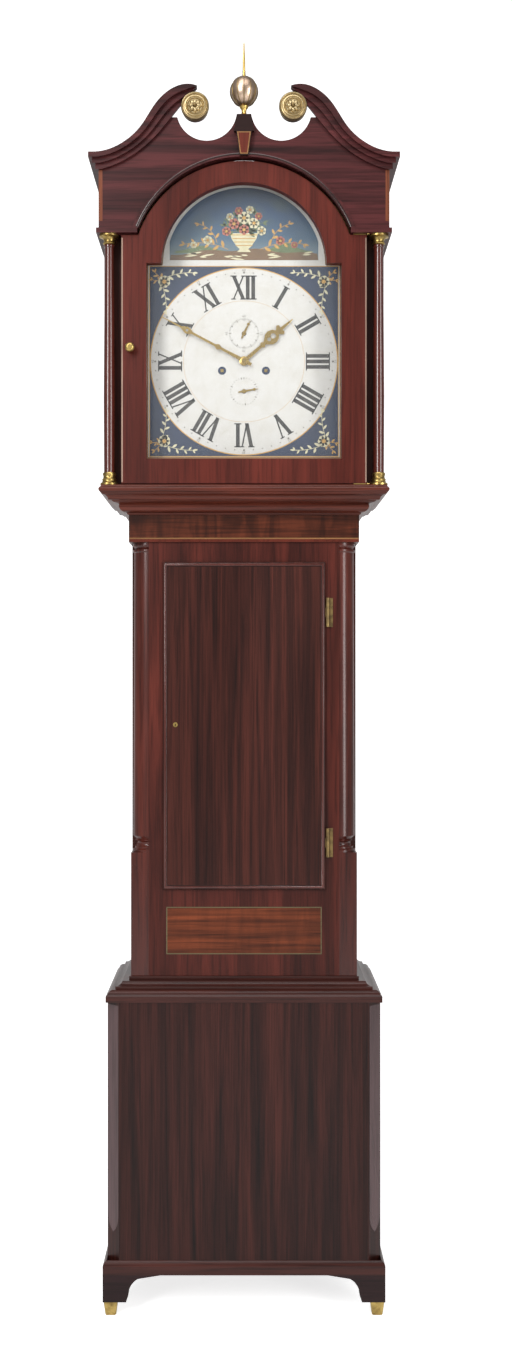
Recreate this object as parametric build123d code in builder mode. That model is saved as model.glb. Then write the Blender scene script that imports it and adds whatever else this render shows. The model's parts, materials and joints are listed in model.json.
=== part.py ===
from build123d import *
import os
from math import cos, radians, sin, sqrt, atan2, degrees

# An eight-day longcase clock with an arched painted dial and a swan-neck hood.
# X runs to the clock's right as seen from the front, Y runs to the back, Z runs up.
# Depths are measured forward from the back of the case, heights up from the floor.

os.makedirs("parts", exist_ok=True)

# Heights of the stages, stacked upward from the floor
pad_height = 23.0
foot_height = 45.0
apron_height = 12.0
base_moulding_height = 11.0
plinth_height = 431.0
plinth_moulding_height = 37.0
lower_trunk_height = 147.0
trunk_door_height = 556.0
top_rail_height = 34.0
trunk_frieze_height = 46.0
throat_height = 30.0
hood_base_height = 16.0
column_stage_height = 419.0
frieze_bead_height = 8.0
hood_frieze_height = 97.0
cornice_height = 25.0

# Half widths of the stages
trunk_half = 192.0
trunk_frieze_half = 195.5
plinth_half = 230.0
plinth_moulding_half = 231.5
base_half = 236.0
hood_half = 236.0
frieze_half = 242.5

# Fronts of the stages, forward from the back of the case
trunk_front = 190.0
trunk_frieze_front = 193.0
frieze_front = 236.0

# Projections of the mouldings beyond what they stand on
hood_base_projection = 47.0
cornice_projection = 16.0

# Timber
back_thickness = 12.0
side_thickness = 12.0
frame_thickness = 20.0
plinth_thickness = 18.0
plinth_floor_thickness = 12.0
seat_thickness = 20.0
roof_thickness = 12.0
mask_thickness = 4.0
mask_gap = 2.0
hood_door_thickness = 23.0
door_set_back = 3.0
pediment_thickness = 16.0
canted_corner = 21.0
corner_recess = 30.0
post_width = 14.0
post_depth = 14.0
foot_thickness = 18.0
foot_reach = 96.0
foot_toe = 39.0
pad_width = 24.0

# Trunk door, lower panel and their metalwork
door_opening_half = 132.0
door_lip = 6.0
door_lip_thickness = 7.0
door_body_thickness = 14.0
door_clearance = 1.5
panel_height = 80.4
panel_rise = 36.6
panel_depth = 3.0
trunk_column_base_height = 27.0
corner_block_height = 209.5
hinge_length = 49.0
lower_hinge_inset = 55.0
upper_hinge_inset = 61.0
hinge_knuckle_radius = 3.3
hinge_pin_radius = 1.6
hinge_leaf_thickness = 1.4
hinge_leaf_width = 9.0
hinge_axis_out = 4.0
running_gap = 0.3
pin_clearance = 0.05
lock_width = 32.0
lock_height = 50.0
lock_thickness = 12.0
lock_inset = 3.5
keyhole_rise = 280.0
bolt_height = 14.0
bolt_thickness = 4.0
bolt_travel = 8.0
escutcheon_radius = 4.0

# Hood door, columns and glass
hood_door_half = 204.6
hood_door_gap = 2.0
hood_clearance = 3.0
door_light_half = 163.0
door_light_bottom = 43.3
door_light_shoulder = 370.0
door_light_arch_radius = 138.2
glass_thickness = 3.0
glass_lap = 5.0
pivot_radius = 2.0
pivot_plate = 1.7
pivot_offset = 2.4
knob_radius = 8.0
knob_edge = 14.6
knob_rise = 227.0
spindle_radius = 2.5
tongue_length = 24.0
column_radius = 9.4
column_offset = 10.0
column_set_back = 4.6
brass_base_height = 21.0
brass_base_radius = 15.0
brass_cap_height = 15.5
brass_cap_radius = 16.5
stile_width = 17.0
stile_thickness = 10.0

# Pediment
arch_half_chord = 178.0
arch_rise = 118.5
door_arch_clearance = 5.0
shoulder_rise = 63.0
cutout_radius = 50.2
cutout_depth = 39.0
cutout_offset = 62.2
pedestal_half = 12.4
pedestal_extra = 2.5
rosette_radius = 23.3
rosette_offset = 81.5
rosette_rise = 79.0
rosette_depth = 14.5
scroll_eye_depth = 8.0
keystone_height = 41.0
keystone_top_half = 13.0
keystone_bottom_half = 6.6
finial_neck_height = 18.0
finial_neck_radius = 6.6
finial_ball_radius = 23.4
finial_ball_height = 51.5
spire_height = 58.0
spire_radius = 3.6

# Dial
dial_half = 165.3
dial_rise = 50.6
dial_square_height = 333.2
dial_arch_radius = 140.8
dial_plate_thickness = 2.0
dial_set_back = 8.0
centre_rise = 217.0
winding_offset = 37.4
winding_drop = 15.8
seconds_rise = 47.6
calendar_drop = 51.0
winding_hole_radius = 7.5
minute_hand_length = 152.0
hour_hand_length = 108.0
minute_hand_angle = 298.1
hour_hand_angle = 49.5
hand_thickness = 1.0

# Movement
plate_half = 62.0
plate_below_centre = 60.0
plate_above_centre = 92.0
plate_thickness = 3.0
plate_spacing = 55.0
dial_foot_length = 26.0
pillar_radius = 3.5
arbor_radius = 1.5
pivot_pin_radius = 1.0
barrel_radius = 24.0
barrel_flange = 2.0
barrel_arbor_radius = 3.0
barrel_pivot_radius = 2.0
winding_square = 5.0
wheel_thickness = 2.0
great_teeth = 96
centre_pinion_leaves = 8
centre_teeth = 60
centre_module = 0.80
third_leaves = 8
third_teeth = 56
third_module = 0.75
escape_leaves = 7
escape_teeth = 30
escape_radius = 20.0
pallet_rise = 28.0
motion_teeth = 36
motion_module = 0.90
hour_teeth = 72
minute_leaves = 6
calendar_radius = 24.0
calendar_teeth = 62
strike_great_teeth = 78
strike_module = 0.85
pin_leaves = 8
pin_teeth = 64
pin_module = 0.65
gathering_leaves = 8
gathering_teeth = 56
gathering_module = 0.55
fly_leaves = 7
fly_radius = 11.0
bell_radius = 46.0
bell_height = 30.0
bell_rise = 112.0
bell_wall = 2.5

# Pendulum, weights and lines
pendulum_length = 994.0
pendulum_depth = 62.0
rod_radius = 2.0
bob_radius = 55.0
bob_thickness = 28.0
weight_radius = 38.0
weight_height = 150.0
weight_drop = 40.0
pulley_radius = 22.0
pulley_thickness = 7.0
pulley_rest_drop = 145.0
line_radius = 0.8

# Heights worked out from the stack
apron_bottom = pad_height + foot_height
base_moulding_bottom = apron_bottom + apron_height
plinth_bottom = base_moulding_bottom + base_moulding_height
plinth_top = plinth_bottom + plinth_height
trunk_bottom = plinth_top + plinth_moulding_height
trunk_door_bottom = trunk_bottom + lower_trunk_height
trunk_door_top = trunk_door_bottom + trunk_door_height
trunk_frieze_bottom = trunk_door_top + top_rail_height
throat_bottom = trunk_frieze_bottom + trunk_frieze_height
hood_bottom = throat_bottom + throat_height
hood_floor = hood_bottom + hood_base_height
frieze_bottom = hood_floor + column_stage_height
frieze_face_bottom = frieze_bottom + frieze_bead_height
cornice_bottom = frieze_face_bottom + hood_frieze_height
cornice_top = cornice_bottom + cornice_height
shoulder_top = cornice_top + shoulder_rise
pedestal_top = shoulder_top + pedestal_extra
centre_height = hood_floor + centre_rise
seat_top = centre_height - plate_below_centre
seat_bottom = seat_top - seat_thickness
dial_bottom = hood_floor + dial_rise

# Depths and widths worked out from the fronts
plinth_front = trunk_front + plinth_half - trunk_half
base_front = plinth_front + base_half - plinth_half
hood_base_front = trunk_frieze_front + hood_base_projection
hood_base_half = trunk_frieze_half + hood_base_projection
cornice_front = frieze_front + cornice_projection
cornice_half = frieze_half + cornice_projection
back_y = cornice_front / 2
frame_back = trunk_front - frame_thickness
recess_back = trunk_front - corner_recess
dial_front = trunk_front - dial_set_back
dial_back = dial_front - dial_plate_thickness
front_plate_front = dial_back - dial_foot_length
front_plate_back = front_plate_front - plate_thickness
back_plate_front = front_plate_back - plate_spacing
back_plate_back = back_plate_front - plate_thickness
mask_back = dial_front + mask_gap
mask_front = mask_back + mask_thickness
hood_door_front = frieze_front - door_set_back
hood_door_back = hood_door_front - hood_door_thickness
pediment_back = frieze_front - pediment_thickness
column_depth = frieze_front - column_radius - column_set_back
column_x = hood_half - column_offset
hood_side_inner = hood_half - side_thickness
stile_front = column_depth - max(brass_base_radius, brass_cap_radius) - running_gap
stile_back = stile_front - stile_thickness


def y_at(depth):
    """Y of a point at a depth forward from the back of the case."""
    return back_y - depth


def front_plane(depth):
    """Upright plane at a depth, seen from the front, with X right and Z up."""
    return Plane.XZ.offset(depth - back_y)


def level_plane(height):
    """Level plane at a height above the floor."""
    return Plane.XY.offset(height)


def plank(x0, x1, depth0, depth1, z0, z1, mode=Mode.ADD):
    """A sawn board between two corners, added to the part or cut out of it."""
    with BuildSketch(front_plane(depth0)) as outline:
        with Locations(((x0 + x1) / 2, (z0 + z1) / 2)):
            Rectangle(x1 - x0, z1 - z0)
    extrude(outline.sketch, amount=depth1 - depth0, mode=mode)


def rod(x, z, radius, depth0, depth1, mode=Mode.ADD):
    """A round bar along the depth at a place on the front view, or its hole."""
    with BuildSketch(front_plane(depth0)) as outline:
        with Locations((x, z)):
            Circle(radius)
    extrude(outline.sketch, amount=depth1 - depth0, mode=mode)


def upright(x, depth, radius, z0, z1, mode=Mode.ADD):
    """A round bar standing up at a place on the floor plan, or its hole."""
    with BuildSketch(level_plane(z0)) as outline:
        with Locations((x, y_at(depth))):
            Circle(radius)
    extrude(outline.sketch, amount=z1 - z0, mode=mode)


def turned(x, depth, stations, mode=Mode.ADD):
    """A turned piece standing at a place: radius and height stations from bottom to top."""
    with BuildSketch(Plane(origin=(x, y_at(depth), 0), x_dir=(1, 0, 0), z_dir=(0, -1, 0))) as half:
        with BuildLine():
            points = [(0, stations[0][1])] + [(s[0], s[1]) for s in stations] + [(0, stations[-1][1])]
            bulges = [0] + [s[2] if len(s) > 2 else 0 for s in stations] + [0]
            for start, end, bulge in zip(points, points[1:], bulges[1:]):
                if bulge:
                    SagittaArc(start, end, bulge)
                elif start != end:
                    Line(start, end)
            Line(points[-1], points[0])
        make_face()
    revolve(half.sketch, axis=Axis((x, y_at(depth), 0), (0, 0, 1)), mode=mode)


def returned_moulding(half_width, front, back, height, members, mode=Mode.ADD):
    """A moulding mitred round the front: members hold projection, height and sagitta."""
    with BuildLine(level_plane(height)) as run:
        Polyline(
            (-half_width, y_at(back)),
            (-half_width, y_at(front)),
            (half_width, y_at(front)),
            (half_width, y_at(back)),
        )
    start = Plane(origin=(-half_width, y_at(back), height), x_dir=(1, 0, 0), z_dir=(0, -1, 0))
    with BuildSketch(start) as section:
        with BuildLine():
            for before, after in zip(members, members[1:] + members[:1]):
                if len(after) > 2:
                    SagittaArc((-before[0], before[1]), (-after[0], after[1]), after[2])
                else:
                    Line((-before[0], before[1]), (-after[0], after[1]))
        make_face()
    sweep(section.sketch, path=run.line, transition=Transition.RIGHT, mode=mode)


def wheel(x, z, teeth, module, depth0, depth1, phase, mode=Mode.ADD):
    """A toothed wheel with thin flat teeth, one of them centred on the phase angle."""
    pitch = 360 / teeth
    root = teeth * module / 2 - 0.75 * module
    tip = teeth * module / 2 + 0.6 * module
    points = []
    for tooth in range(teeth):
        angle = phase + tooth * pitch
        for radius, share in ((root, -0.17), (tip, -0.12), (tip, 0.12), (root, 0.17)):
            turn = radians(angle + share * pitch)
            points.append((x + radius * cos(turn), z + radius * sin(turn)))
    with BuildSketch(front_plane(depth0)) as outline:
        with BuildLine():
            Polyline(*points, close=True)
        make_face()
    extrude(outline.sketch, amount=depth1 - depth0, mode=mode)


def heading(start, end):
    """Angle of the line from one place on the front view to another."""
    return degrees(atan2(end[1] - start[1], end[0] - start[0]))


# Plinth: front, sides and canted corner posts round a bottom board

plinth_side_inner = plinth_half - plinth_thickness
plinth_front_inner = plinth_front - plinth_thickness
canted_x = plinth_half - canted_corner
canted_depth = plinth_front - canted_corner

with BuildPart() as plinth_boards:
    plank(-canted_x, canted_x, plinth_front_inner, plinth_front, base_moulding_bottom, plinth_top)
    for side in (-1, 1):
        low, high = sorted((side * plinth_side_inner, side * plinth_half))
        plank(low, high, 0, canted_depth, base_moulding_bottom, plinth_top)
        with BuildSketch(level_plane(base_moulding_bottom)) as post:
            with BuildLine():
                Polyline(
                    (side * canted_x, y_at(plinth_front_inner)),
                    (side * canted_x, y_at(plinth_front)),
                    (side * plinth_half, y_at(canted_depth)),
                    (side * plinth_side_inner, y_at(canted_depth)),
                    close=True,
                )
            make_face()
        extrude(post.sketch, amount=plinth_top - base_moulding_bottom)
    plank(
        -plinth_side_inner,
        plinth_side_inner,
        back_thickness,
        plinth_front_inner,
        base_moulding_bottom,
        base_moulding_bottom + plinth_floor_thickness,
    )
plinth_boards.part.label = "plinth_boards"

# Plinth mouldings: the stepped one under the trunk, and the apron with its round

plinth_step = plinth_moulding_half - trunk_half
base_step = base_half - plinth_half
with BuildPart() as plinth_mouldings:
    returned_moulding(
        trunk_half,
        trunk_front,
        0,
        plinth_top,
        [
            (0, 0),
            (plinth_step, 0),
            (plinth_step, 10),
            (plinth_step - 3, 13),
            (plinth_step - 13, 19, 2.6),
            (plinth_step - 15, 19),
            (plinth_step - 15, 24),
            (plinth_step - 26, 31, -2.4),
            (3, 31),
            (3, plinth_moulding_height),
            (0, plinth_moulding_height),
        ],
    )
    returned_moulding(
        base_half,
        base_front,
        0,
        apron_bottom,
        [
            (-foot_thickness, 0),
            (0, 0),
            (0, apron_height),
            (-base_step, apron_height + base_moulding_height, 2.0),
            (-base_step, apron_height),
            (-foot_thickness, apron_height),
        ],
    )
plinth_mouldings.part.label = "plinth_mouldings"

# Bracket feet, each sawn with a round between its toe and the apron

toe_curve = foot_height - 8.0
with BuildPart() as bracket_feet:
    for side in (-1, 1):
        with BuildSketch(front_plane(base_front - foot_thickness)) as bracket:
            with BuildLine():
                outer = side * base_half
                toe = side * (base_half - foot_toe)
                step = side * (base_half - foot_toe - 20.0)
                reach = side * (base_half - foot_reach)
                Line((outer, pad_height), (toe, pad_height))
                Line((toe, pad_height), (toe - side * 4, pad_height + 12))
                ThreePointArc(
                    (toe - side * 4, pad_height + 12),
                    (toe - side * 9, pad_height + 29),
                    (step, apron_bottom - 6),
                )
                Line((step, apron_bottom - 6), (reach, apron_bottom))
                Line((reach, apron_bottom), (outer, apron_bottom))
                Line((outer, apron_bottom), (outer, pad_height))
            make_face()
        extrude(bracket.sketch, amount=foot_thickness)
        side_plane = Plane(origin=(side * base_half, 0, 0), x_dir=(0, -1, 0), z_dir=(-side, 0, 0))
        flip = -1 if side_plane.y_dir.Z < 0 else 1
        for start, way in ((base_front - foot_thickness, -1), (0.0, 1)):
            with BuildSketch(side_plane) as cheek:
                with BuildLine():
                    near = start - back_y
                    toe = near + way * (foot_toe - foot_thickness * (way < 0))
                    step = toe + way * 20.0
                    reach = near + way * (foot_reach - foot_thickness * (way < 0))
                    low = flip * pad_height
                    rise = flip * (apron_bottom - 6)
                    top = flip * apron_bottom
                    Line((near, low), (toe, low))
                    Line((toe, low), (toe + way * 4, low + flip * 12))
                    ThreePointArc(
                        (toe + way * 4, low + flip * 12),
                        (toe + way * 9, low + flip * 29),
                        (step, rise),
                    )
                    Line((step, rise), (reach, top))
                    Line((reach, top), (near, top))
                    Line((near, top), (near, low))
                make_face()
            extrude(cheek.sketch, amount=foot_thickness)
bracket_feet.part.label = "bracket_feet"

# Brass pads under the four feet, rounded where they meet the floor

pad_half = pad_width / 2
with BuildPart() as foot_pads:
    for side in (-1, 1):
        for depth in (base_front - pad_half - 1.0, pad_half + 1.0):
            x = side * (base_half - pad_half - 1.0)
            with BuildSketch(level_plane(0)) as foot_print:
                with Locations((x, y_at(depth))):
                    RectangleRounded(pad_width - 6, pad_width - 6, 4)
            with BuildSketch(level_plane(pad_height)) as seat_print:
                with Locations((x, y_at(depth))):
                    RectangleRounded(pad_width, pad_width, 4)
            loft([foot_print.sketch.faces()[0], seat_print.sketch.faces()[0]])
foot_pads.part.label = "foot_pads"

# Trunk sides, each with the corner post behind its quarter column; they carry the seatboard

recess_x = trunk_half - corner_recess
side_inner = trunk_half - side_thickness
post_inner = recess_x - post_width
with BuildPart() as trunk_sides:
    for side in (-1, 1):
        low, high = sorted((side * side_inner, side * trunk_half))
        plank(low, high, 0, recess_back, plinth_top, seat_bottom)
        low, high = sorted((side * recess_x, side * side_inner))
        plank(low, high, recess_back - post_depth, recess_back, plinth_top, trunk_frieze_bottom)
        low, high = sorted((side * post_inner, side * recess_x))
        plank(low, high, recess_back - post_depth, frame_back, plinth_top, trunk_frieze_bottom)
trunk_sides.part.label = "trunk_sides"

# Trunk front frame: two stiles, the top rail and the band that takes the lower panel

opening_bottom = trunk_door_bottom + door_lip
opening_top = trunk_door_top - door_lip
panel_bottom = trunk_bottom + panel_rise
with BuildPart() as trunk_front_frame:
    plank(-recess_x, recess_x, frame_back, trunk_front, plinth_top, trunk_frieze_bottom)
    plank(
        -door_opening_half,
        door_opening_half,
        frame_back,
        trunk_front,
        opening_bottom,
        opening_top,
        Mode.SUBTRACT,
    )
    plank(
        -door_opening_half,
        door_opening_half,
        trunk_front - panel_depth,
        trunk_front,
        panel_bottom,
        panel_bottom + panel_height,
        Mode.SUBTRACT,
    )
trunk_front_frame.part.label = "trunk_front_frame"

with BuildPart() as lower_panel:
    plank(
        -door_opening_half,
        door_opening_half,
        trunk_front - panel_depth,
        trunk_front,
        panel_bottom,
        panel_bottom + panel_height,
    )
lower_panel.part.label = "lower_panel"

# Quarter columns: turned whole, cut to the corner recess, over square blocks

block_top = plinth_top + plinth_moulding_height + corner_block_height
cap_bottom = trunk_frieze_bottom - 17.0
shaft_radius = corner_recess - 1.5
with BuildPart() as trunk_corner_columns:
    for side in (-1, 1):
        turned(
            side * recess_x,
            recess_back,
            [
                (corner_recess, block_top),
                (corner_recess, block_top + 4),
                (corner_recess - 4, block_top + 6),
                (corner_recess - 4, block_top + 9),
                (corner_recess - 4, block_top + 19, 3.4),
                (corner_recess - 6, block_top + 21),
                (shaft_radius, block_top + trunk_column_base_height),
                (shaft_radius - 1.5, cap_bottom),
                (corner_recess - 1, cap_bottom + 2),
                (corner_recess - 1, cap_bottom + 5),
                (shaft_radius - 3, cap_bottom + 7),
                (corner_recess - 1, cap_bottom + 12),
                (corner_recess - 1, trunk_frieze_bottom),
            ],
        )
    for side in (-1, 1):
        low, high = sorted((side * recess_x, side * trunk_half))
        plank(-recess_x, recess_x, 0, trunk_front, block_top, trunk_frieze_bottom, Mode.SUBTRACT)
        plank(low, high, 0, recess_back, block_top, trunk_frieze_bottom, Mode.SUBTRACT)
    for side in (-1, 1):
        low, high = sorted((side * recess_x, side * trunk_half))
        plank(low, high, recess_back, trunk_front, plinth_top, block_top)
trunk_corner_columns.part.label = "trunk_corner_columns"

# Trunk frieze board with its returns, and the throat moulding that the hood stands on

with BuildPart() as trunk_frieze:
    plank(
        -trunk_frieze_half,
        trunk_frieze_half,
        frame_back,
        trunk_frieze_front,
        trunk_frieze_bottom,
        throat_bottom,
    )
    for side in (-1, 1):
        low, high = sorted((side * recess_x, side * trunk_frieze_half))
        plank(low, high, recess_back, frame_back, trunk_frieze_bottom, throat_bottom)
        low, high = sorted((side * trunk_half, side * trunk_frieze_half))
        plank(low, high, 0, recess_back, trunk_frieze_bottom, throat_bottom)
trunk_frieze.part.label = "trunk_frieze"

throat_inner = trunk_half - trunk_frieze_half
with BuildPart() as throat_moulding:
    returned_moulding(
        trunk_frieze_half,
        trunk_frieze_front,
        0,
        throat_bottom,
        [
            (throat_inner, 0),
            (1, 0),
            (3, 3, 0.6),
            (6, 4),
            (15, 17, 4.0),
            (22, 19),
            (27, 21.5, 0.6),
            (32, 22),
            (hood_base_projection - 8, throat_height, -1.6),
            (throat_inner, throat_height),
        ],
    )
throat_moulding.part.label = "throat_moulding"

# Backboard, from the plinth floor up into the hood

backboard_top = cornice_top - roof_thickness - hood_clearance
with BuildPart() as backboard:
    plank(-side_inner, side_inner, 0, back_thickness, base_moulding_bottom, backboard_top)
    for side in (-1, 1):
        low, high = sorted((side * side_inner, side * plinth_side_inner))
        plank(low, high, 0, back_thickness, base_moulding_bottom, plinth_top)
        low, high = sorted((side * side_inner, side * (hood_side_inner - hood_clearance / 2)))
        plank(low, high, 0, back_thickness, hood_floor + hood_clearance, backboard_top)
        low, high = sorted((side * side_inner, side * trunk_half))
        plank(low, high, 0, back_thickness, seat_bottom, backboard_top)
        plank(low, high, 0, back_thickness, hood_floor, seat_bottom, Mode.SUBTRACT)
backboard.part.label = "backboard"

# Seatboard on the trunk sides, slotted for the lines

def line_x(side):
    """Where a line leaves its barrel: on the left, so that winding clockwise lifts the weight."""
    return side * winding_offset - barrel_radius - line_radius


def weight_x(side):
    """Where a weight and its pulley hang."""
    return line_x(side) + side * pulley_radius


def anchor_x(side):
    """Where the still end of a line is tied to the seatboard."""
    return weight_x(side) + side * pulley_radius


barrel_mid = (back_plate_front + front_plate_back) / 2
seat_back = pendulum_depth + bob_thickness / 2 + 6.0
slot_half = 4.0
with BuildPart() as seatboard:
    plank(-trunk_half, trunk_half, seat_back, frame_back, seat_bottom, seat_top)
    for side in (-1, 1):
        for centre in (line_x(side), anchor_x(side)):
            plank(
                centre - slot_half,
                centre + slot_half,
                barrel_mid - 20,
                barrel_mid + 20,
                seat_bottom,
                seat_top,
                Mode.SUBTRACT,
            )
seatboard.part.label = "seatboard"

# Trunk door: a board with a lip that overlaps the frame all round

door_body_half = door_opening_half - door_clearance
door_lip_half = door_opening_half + door_lip
door_body_back = trunk_front - door_body_thickness
door_face = trunk_front + door_lip_thickness
hinge_x = door_lip_half + hinge_axis_out
hinge_depth = trunk_front + hinge_knuckle_radius + hinge_leaf_thickness
with BuildPart() as trunk_door_panel:
    plank(
        -door_body_half,
        door_body_half,
        door_body_back,
        trunk_front + running_gap,
        opening_bottom + door_clearance,
        opening_top - door_clearance,
    )
    plank(
        -door_lip_half,
        door_lip_half,
        trunk_front + running_gap,
        door_face,
        trunk_door_bottom,
        trunk_door_top,
    )
    fillet(trunk_door_panel.edges().group_by(Axis.Y)[0], 3.0)
trunk_door_panel.part.label = "trunk_door_panel"


# Trunk hinges: the leaf on the stile carries the pin, the other leaf turns with the door

knuckle_third = hinge_length / 3
hinge_heights = (
    trunk_door_bottom + lower_hinge_inset,
    trunk_door_top - upper_hinge_inset - hinge_length,
)
with BuildPart() as trunk_hinge_fixed_leaves:
    for low in hinge_heights:
        plank(
            hinge_x,
            hinge_x + hinge_leaf_width,
            trunk_front,
            trunk_front + hinge_leaf_thickness,
            low,
            low + hinge_length,
        )
        upright(hinge_x, hinge_depth, hinge_pin_radius, low, low + hinge_length)
        for start in (low, low + 2 * knuckle_third):
            upright(hinge_x, hinge_depth, hinge_knuckle_radius, start, start + knuckle_third)
trunk_hinge_fixed_leaves.part.label = "trunk_hinge_fixed_leaves"

with BuildPart() as trunk_hinge_door_leaves:
    for low in hinge_heights:
        middle = low + knuckle_third + running_gap
        height = knuckle_third - 2 * running_gap
        upright(hinge_x, hinge_depth, hinge_knuckle_radius, middle, middle + height)
        plank(
            door_lip_half,
            hinge_x,
            hinge_depth - hinge_leaf_thickness / 2,
            hinge_depth + hinge_leaf_thickness / 2,
            middle,
            middle + height,
        )
        upright(
            hinge_x,
            hinge_depth,
            hinge_pin_radius + pin_clearance,
            low,
            low + hinge_length,
            Mode.SUBTRACT,
        )
trunk_hinge_door_leaves.part.label = "trunk_hinge_door_leaves"

# Trunk lock on the back of the door, its keyhole plate in front, and its sliding bolt

lock_x = -door_body_half + lock_inset
lock_middle = trunk_door_bottom + keyhole_rise
lock_back = door_body_back - lock_thickness
bolt_back = lock_back + 1.5
with BuildPart() as trunk_lock:
    plank(
        lock_x,
        lock_x + lock_width,
        lock_back,
        door_body_back,
        lock_middle - lock_height / 2,
        lock_middle + lock_height / 2,
    )
    plank(
        lock_x,
        lock_x + lock_width - 4.0,
        bolt_back - running_gap,
        bolt_back + bolt_thickness + running_gap,
        lock_middle - bolt_height / 2 - running_gap,
        lock_middle + bolt_height / 2 + running_gap,
        Mode.SUBTRACT,
    )
    rod(lock_x + lock_width / 3, lock_middle, escutcheon_radius, door_face, door_face + 1.0)
    plank(
        lock_x + lock_width / 3 - 0.8,
        lock_x + lock_width / 3 + 0.8,
        door_face,
        door_face + 1.0,
        lock_middle - 2.6,
        lock_middle + 1.6,
        Mode.SUBTRACT,
    )
trunk_lock.part.label = "trunk_lock"

with BuildPart() as lock_bolt:
    plank(
        lock_x,
        lock_x + lock_width - 4.0 - bolt_travel - 1.0,
        bolt_back,
        bolt_back + bolt_thickness,
        lock_middle - bolt_height / 2,
        lock_middle + bolt_height / 2,
    )
lock_bolt.part.label = "lock_bolt"

# Hood base frame, open at the back so that the hood draws forward off the trunk

base_inner = hood_base_half - trunk_half - 1.5
pivot_x = hood_door_half + pivot_offset
pivot_depth = hood_door_front - 0.5
pin_reach = 7.0
with BuildPart() as hood_base_frame:
    returned_moulding(
        hood_base_half,
        hood_base_front,
        0,
        hood_bottom,
        [
            (-base_inner, 0),
            (-8, 0),
            (-4, 2.5, 0.8),
            (-2, 4),
            (-2, 12, 2.0),
            (-4, hood_base_height, -0.8),
            (-base_inner, hood_base_height),
        ],
    )
    upright(
        pivot_x,
        pivot_depth,
        pivot_radius + pin_clearance,
        hood_floor - pin_reach - 1.0,
        hood_floor,
        Mode.SUBTRACT,
    )
hood_base_frame.part.label = "hood_base_frame"

# Hood sides with the front stiles behind the columns, and the roof board between them

roof_bottom = cornice_top - roof_thickness
roof_front = hood_door_back - hood_door_gap
with BuildPart() as hood_sides:
    for side in (-1, 1):
        low, high = sorted((side * hood_side_inner, side * hood_half))
        plank(low, high, 0, stile_front, hood_floor, cornice_top)
        plank(low, high, stile_front, pediment_back, frieze_bottom, cornice_top)
        low, high = sorted((side * (hood_side_inner - stile_width), side * hood_side_inner))
        plank(low, high, stile_back, stile_front, hood_floor, frieze_bottom)
    plank(-hood_side_inner, hood_side_inner, 0, roof_front, roof_bottom, cornice_top)
hood_sides.part.label = "hood_sides"

# Pediment board: arched below, with shoulders, round cut-outs and the finial's pedestal above

arch_radius = (arch_half_chord**2 + arch_rise**2) / (2 * arch_rise)
arch_centre = frieze_face_bottom + arch_rise - arch_radius
cutout_centre = shoulder_top - cutout_depth + cutout_radius
cutout_half = sqrt(cutout_radius**2 - (cutout_radius - cutout_depth) ** 2)
cutout_outer = cutout_offset + cutout_half
cutout_inner = cutout_offset - cutout_half
shoulder_end = cutout_outer + 15.5
board_edge = [(-frieze_half, cornice_top - 2), (-207, cornice_top + 4), (-172, cornice_top + 31),
              (-shoulder_end, shoulder_top)]
with BuildPart() as pediment_board:
    with BuildSketch(front_plane(pediment_back)) as board:
        with BuildLine():
            Line((-frieze_half, frieze_face_bottom), board_edge[0])
            Spline(*board_edge)
            Line((-shoulder_end, shoulder_top), (-cutout_outer, shoulder_top))
            ThreePointArc(
                (-cutout_outer, shoulder_top),
                (-cutout_offset, shoulder_top - cutout_depth),
                (-cutout_inner, shoulder_top),
            )
            Line((-cutout_inner, shoulder_top), (-pedestal_half, pedestal_top))
            Line((-pedestal_half, pedestal_top), (0, pedestal_top))
            Line((0, pedestal_top), (0, frieze_face_bottom + arch_rise))
            ThreePointArc(
                (0, frieze_face_bottom + arch_rise),
                (-arch_radius * sin(radians(35)), arch_centre + arch_radius * cos(radians(35))),
                (-arch_half_chord, frieze_face_bottom),
            )
            Line((-arch_half_chord, frieze_face_bottom), (-frieze_half, frieze_face_bottom))
        make_face()
        mirror(about=Plane.YZ)
    extrude(amount=pediment_thickness)
pediment_board.part.label = "pediment_board"

# Frieze returns along the sides, the bead under the frieze and the round moulding of the arch

bead_projection = 4.0
arch_moulding = 8.0
with BuildPart() as hood_frieze_returns:
    for side in (-1, 1):
        low, high = sorted((side * hood_half, side * frieze_half))
        plank(low, high, 0, pediment_back, frieze_face_bottom, cornice_bottom)
        low, high = sorted((side * hood_half, side * (frieze_half + bead_projection)))
        plank(low, high, 0, pediment_back, frieze_bottom, frieze_face_bottom)
        low, high = sorted((side * arch_half_chord, side * (frieze_half + bead_projection)))
        plank(
            low,
            high,
            pediment_back,
            frieze_front + bead_projection,
            frieze_bottom,
            frieze_face_bottom,
        )
    upright(
        pivot_x,
        pivot_depth,
        pivot_radius + pin_clearance,
        frieze_bottom,
        frieze_bottom + pin_reach + 1.0,
        Mode.SUBTRACT,
    )
    with BuildSketch(front_plane(frieze_front)) as arch_band:
        with Locations((0, arch_centre)):
            Circle(arch_radius + arch_moulding)
            Circle(arch_radius, mode=Mode.SUBTRACT)
        with Locations((0, frieze_face_bottom - 2 * arch_radius)):
            Rectangle(4 * arch_radius, 4 * arch_radius, mode=Mode.SUBTRACT)
    extrude(arch_band.sketch, amount=bead_projection)
hood_frieze_returns.part.label = "hood_frieze_returns"

# Cornice returns along the sides, and the swan necks in three members across the front

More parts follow.
